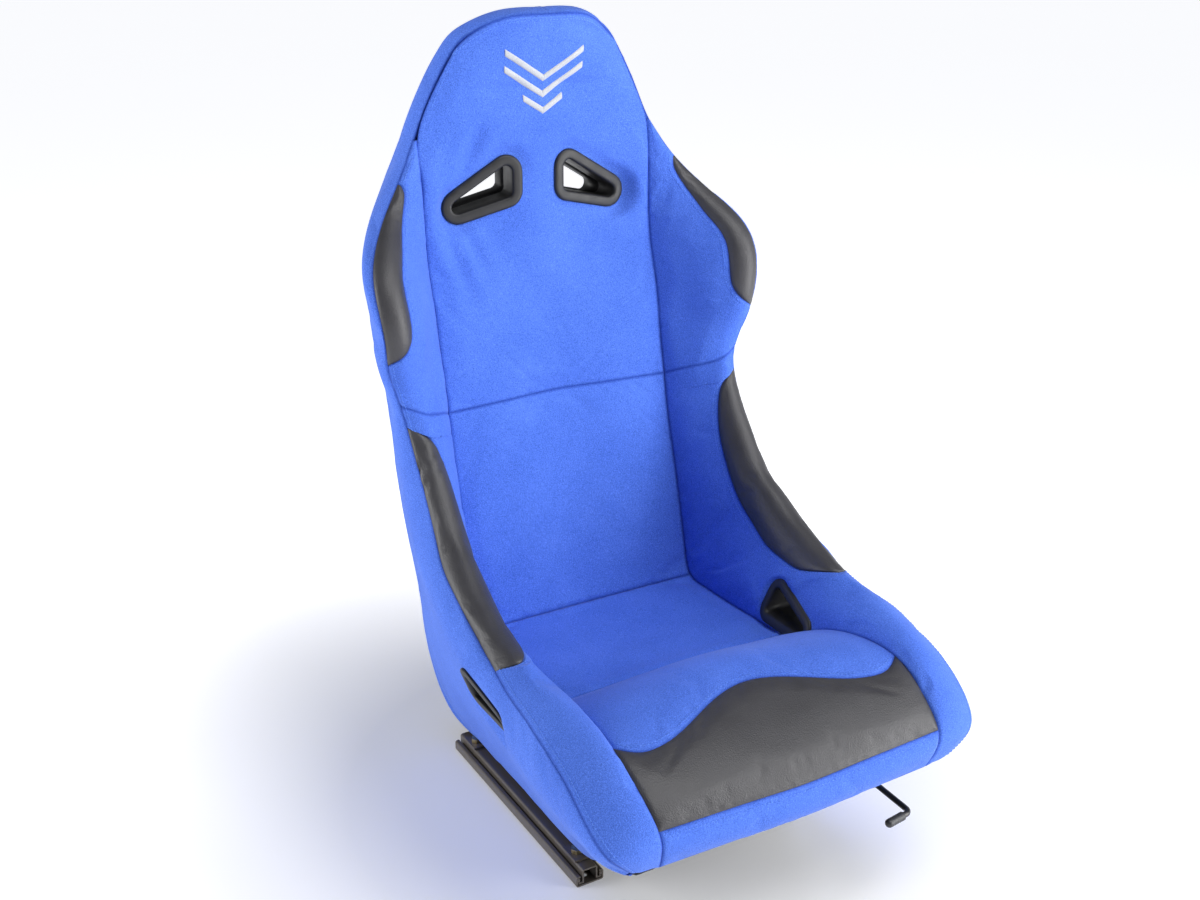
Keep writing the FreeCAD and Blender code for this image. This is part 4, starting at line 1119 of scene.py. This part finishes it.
# how each material is made: the function, then what it takes after the name
RECIPES = {
    "blue_fabric": (fabric, BLUE_DARK, BLUE_MID, BLUE_LIGHT),
    "rear_fabric": (fabric, BLUE_DARK, BLUE_MID, BLUE_LIGHT),
    "black_leather": (leather,),
    "black_plastic": (moulded, (0.012, 0.012, 0.013)),
    "grip_rubber": (moulded, (0.030, 0.031, 0.034), 0.42),
    "black_paint": (painted, (0.011, 0.011, 0.012)),
    "frame_paint": (painted, (0.020, 0.020, 0.022), 0.45),
    "zinc": (metal, (0.30, 0.22, 0.10), (0.62, 0.56, 0.38), 0.38, (1.0, 1.0, 1.0)),
    "bare_steel": (metal, (0.40, 0.40, 0.41), (0.62, 0.62, 0.63), 0.32, (1.0, 0.15, 1.0)),
    "foam": (foam_material,),
    "underside_cloth": (cloth_black,),
    "blue_thread": (thread, (0.030, 0.130, 0.62), (0.11, 0.30, 0.95)),
    "silver_thread": (thread, (0.32, 0.33, 0.36), (0.62, 0.64, 0.67)),
}
MATERIALS = {name: make(name, *looks) for name, (make, *looks) in RECIPES.items()}


def dress(obj, kind):
    obj.data.materials.clear()
    obj.data.materials.append(MATERIALS[kind])


def dress_cad_nodes():
    """The CAD nodes that stay in sight keep their shapes and take the detailed materials."""
    for part in frame["record"]["subparts"]:
        node = frame["nodes"][part["node"]]
        for slot in node.material_slots:
            slot.material = MATERIALS[part["material_slot"]]
        if not node.material_slots:
            node.data.materials.append(MATERIALS[part["material_slot"]])


# ---- build
def panel_object(panel):
    vertices, faces = panel.closed()
    obj = mesh_object(panel.name, vertices, faces)
    # distance from the nearest seam, which the fabric uses for its painted shade
    seam = np.zeros(len(vertices), np.float32)
    seam[:panel.seam.size] = panel.seam.reshape(-1)
    obj.data.attributes.new("seam", "FLOAT", "POINT").data.foreach_set("value", seam)
    return obj


# the panels that aren't blue fabric, by the start of their names, and the CAD nodes each panel stands for
PANEL_LOOK = {"front_insert": "black_leather", "shoulder_patch": "black_leather",
              "thigh_patch": "black_leather", "rear": "rear_fabric", "underside": "underside_cloth"}
STANDS_FOR = {
    "back_upper": ("cover_back_upper", "foam_head", "foam_back"), "back_lower": ("cover_back_lower",),
    "seat_base": ("cover_seat_base", "foam_base"), "front_roll": ("cover_front_roll", "foam_front"),
    "front_insert": ("leather_front_insert",), "front_strip": ("cover_front_strip",),
    "rear": ("cover_rear",), "underside": ("cover_underside",),
}
for hand in SIDE_NAME.values():
    STANDS_FOR["bolster_" + hand] = ("cover_bolster_" + hand,)
    STANDS_FOR["side_" + hand] = ("cover_side_" + hand,)
    for patch in ("shoulder", "thigh"):
        STANDS_FOR[patch + "_patch_" + hand] = ("leather_%s_%s" % (patch, hand), "foam_%s_%s" % (patch, hand))


def look_of(name):
    return next((kind for start, kind in PANEL_LOOK.items() if name.startswith(start)), "blue_fabric")


def seat(obj, kind, *nodes):
    """Every soft or moulded piece of the seat rides with it and stands for its CAD nodes."""
    dress(obj, kind)
    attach(obj, "seat")
    if nodes:
        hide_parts(*nodes)


def soft_seat():
    panels = make_panels()
    inflate(list(panels.values()))
    for panel in panels.values():
        unevenness(panel)
        puckers(panel)
    for hand in SIDE_NAME.values():
        cross_seam(panels["bolster_" + hand], BOLSTER_SEAM)
    for name, start, end, width, depth in CREASES:
        crease(panels[name], start, end, width, depth)
    press(panels["back_upper"], SHOULDER_FRONT)
    press(panels["rear"], SHOULDER_REAR)
    for hand in SIDE_NAME.values():
        press(panels["bolster_" + hand], SIDE_INNER, INNER_PRESS)
        press(panels["side_" + hand], SIDE_OUTER, OUTER_PRESS)
        meet_at_crown(panels["side_" + hand])
    shoulder = opening_cutter("shoulder_cutter", SHOULDER_FRONT, *SHOULDER_CUT)
    side = opening_cutter("side_cutter", SIDE_INNER, *SIDE_CUT)
    for name, panel in panels.items():
        obj = panel_object(panel)
        if name in ("back_upper", "rear"):
            cut_openings(obj, shoulder)
        elif name.startswith(("bolster", "side")):
            cut_openings(obj, side)
        seat(obj, look_of(name), *STANDS_FOR[name])
    for cutter in (shoulder, side):
        bpy.data.objects.remove(cutter)
    return panels


# folds: (panel, from, to, width, depth)
CREASES = [("back_upper", (-0.128, 0.19, 0.715), (-0.104, 0.20, 0.600), 0.009, 0.0034),
           ("back_upper", (-0.112, 0.19, 0.716), (-0.078, 0.20, 0.640), 0.008, 0.0026),
           ("back_upper", (0.120, 0.19, 0.700), (0.075, 0.20, 0.680), 0.007, 0.0012),
           ("back_upper", (-0.100, 0.19, 0.760), (-0.078, 0.19, 0.815), 0.009, 0.0040),
           ("thigh_patch_left", (-0.205, 0.08, 0.470), (-0.222, 0.08, 0.445), 0.004, 0.0020),
           ("thigh_patch_left", (-0.200, 0.07, 0.455), (-0.216, 0.07, 0.430), 0.004, 0.0016)]
STITCH_IN = 0.0070     # from the edge of the panel
HEAD_SHARE = 0.22      # the part of the upper back that is the head
# the lines of topstitching: (panel, its edge, how much of that edge)
STITCHED = [("bolster_right", 1, 1.0), ("bolster_left", 1, 1.0), ("front_roll", 3, 1.0),
            ("front_strip", 2, 1.0), ("back_upper", 0, HEAD_SHARE), ("back_upper", 1, HEAD_SHARE),
            ("back_upper", 2, 1.0)]


def all_stitches(panels):
    lines = [beside(panels[name], edge, STITCH_IN, end) for name, edge, end in STITCHED]
    seat(stitches("topstitching", [line for line in lines if len(line[0]) > 3]), "blue_thread")


def openings():
    for side in (1, -1):
        for kind, (slot, middle) in BEZELS.items():
            obj = bezel("bezel_%s_%s" % (kind, SIDE_NAME[side]), slot, middle, side)
            seat(obj, "black_plastic", "bezels_" + kind)


def lever():
    obj = grip()
    dress(obj, "grip_rubber")
    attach(obj, "release_lever")
    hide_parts("lever_grip")


# ---- floor, light and camera
FLOOR_GLOW = 0.20, 0.86    # painted light, the floor's glow: under the seat, kept low so its shadow stays dark, and away from it
FLOOR_REACH, GLOW_REACH = 200.0, (0.35, 0.85)
FLOOR_EMISSION, WORLD_COLOUR, WORLD_STRENGTH = (0.97, 0.975, 1.0, 1.0), (0.93, 0.96, 1.0, 1.0), 0.16
FLOOR_TONES = [(0.3, (0.77, 0.775, 0.79)), (0.7, (0.79, 0.795, 0.81))]
LIGHTS_TO = (0.0, 0.0, 0.4)
LIGHTS = [("left", (-2.4, 0.9, 1.0), 1.6, 44.0), ("right", (1.7, -1.55, 1.35), 1.5, 31.0),
          ("top", (0.5, -1.2, 2.6), 1.5, 31.0), ("low", (1.4, -1.5, 0.4), 1.0, 20.0)]
CAMERA_AT, CAMERA_TO, LENS = (-0.82004, -1.35590, 1.08373), (0.01159, 0.07152, 0.43093), 43.13


def aim(obj, at, target):
    obj.location = at
    obj.rotation_euler = (Vector(target) - obj.location).to_track_quat("-Z", "Y").to_euler()


def area_light(name, at, size, power):
    light = bpy.data.lights.new(name, "AREA")
    light.shape, light.size, light.energy = "DISK", size, power
    obj = place(name, light)
    aim(obj, at, LIGHTS_TO)
    obj.visible_camera = False


def stage():
    corners = [(x * FLOOR_REACH, y * FLOOR_REACH, 0.0) for x, y in ((-1, -1), (1, -1), (1, 1), (-1, 1))]
    floor = mesh_object("floor", corners, [(0, 1, 2, 3)], False)
    s = Shader("floor", Emission_Color=FLOOR_EMISSION)
    # painted light: the floor glows by emission, weaker near the seat and stronger further off
    s.link(s.span(s.distance(), *FLOOR_GLOW, *GLOW_REACH), s.surface.inputs["Emission Strength"])
    tone = s.noise(0.6, 2.0)
    floor.data.materials.append(s.finish(s.ramp(tone, FLOOR_TONES), s.span(tone, 0.7, 0.8)))
    world = bpy.data.worlds.new("studio")
    world.use_nodes = True
    background = world.node_tree.nodes["Background"].inputs
    background["Color"].default_value = WORLD_COLOUR
    background["Strength"].default_value = WORLD_STRENGTH
    bpy.context.scene.world = world
    for light in LIGHTS:
        area_light(*light)


def camera():
    lens = bpy.data.cameras.new("camera")
    lens.lens, lens.sensor_width = LENS, 36.0
    obj = place("camera", lens)
    aim(obj, CAMERA_AT, CAMERA_TO)
    bpy.context.scene.camera = obj


bpy.context.scene.view_settings.view_transform = "Standard"
camera()
stage()
dress_cad_nodes()
PANELS = soft_seat()
all_stitches(PANELS)
headrest = mark(PANELS["back_upper"])
seat(headrest, "silver_thread")
openings()
lever()
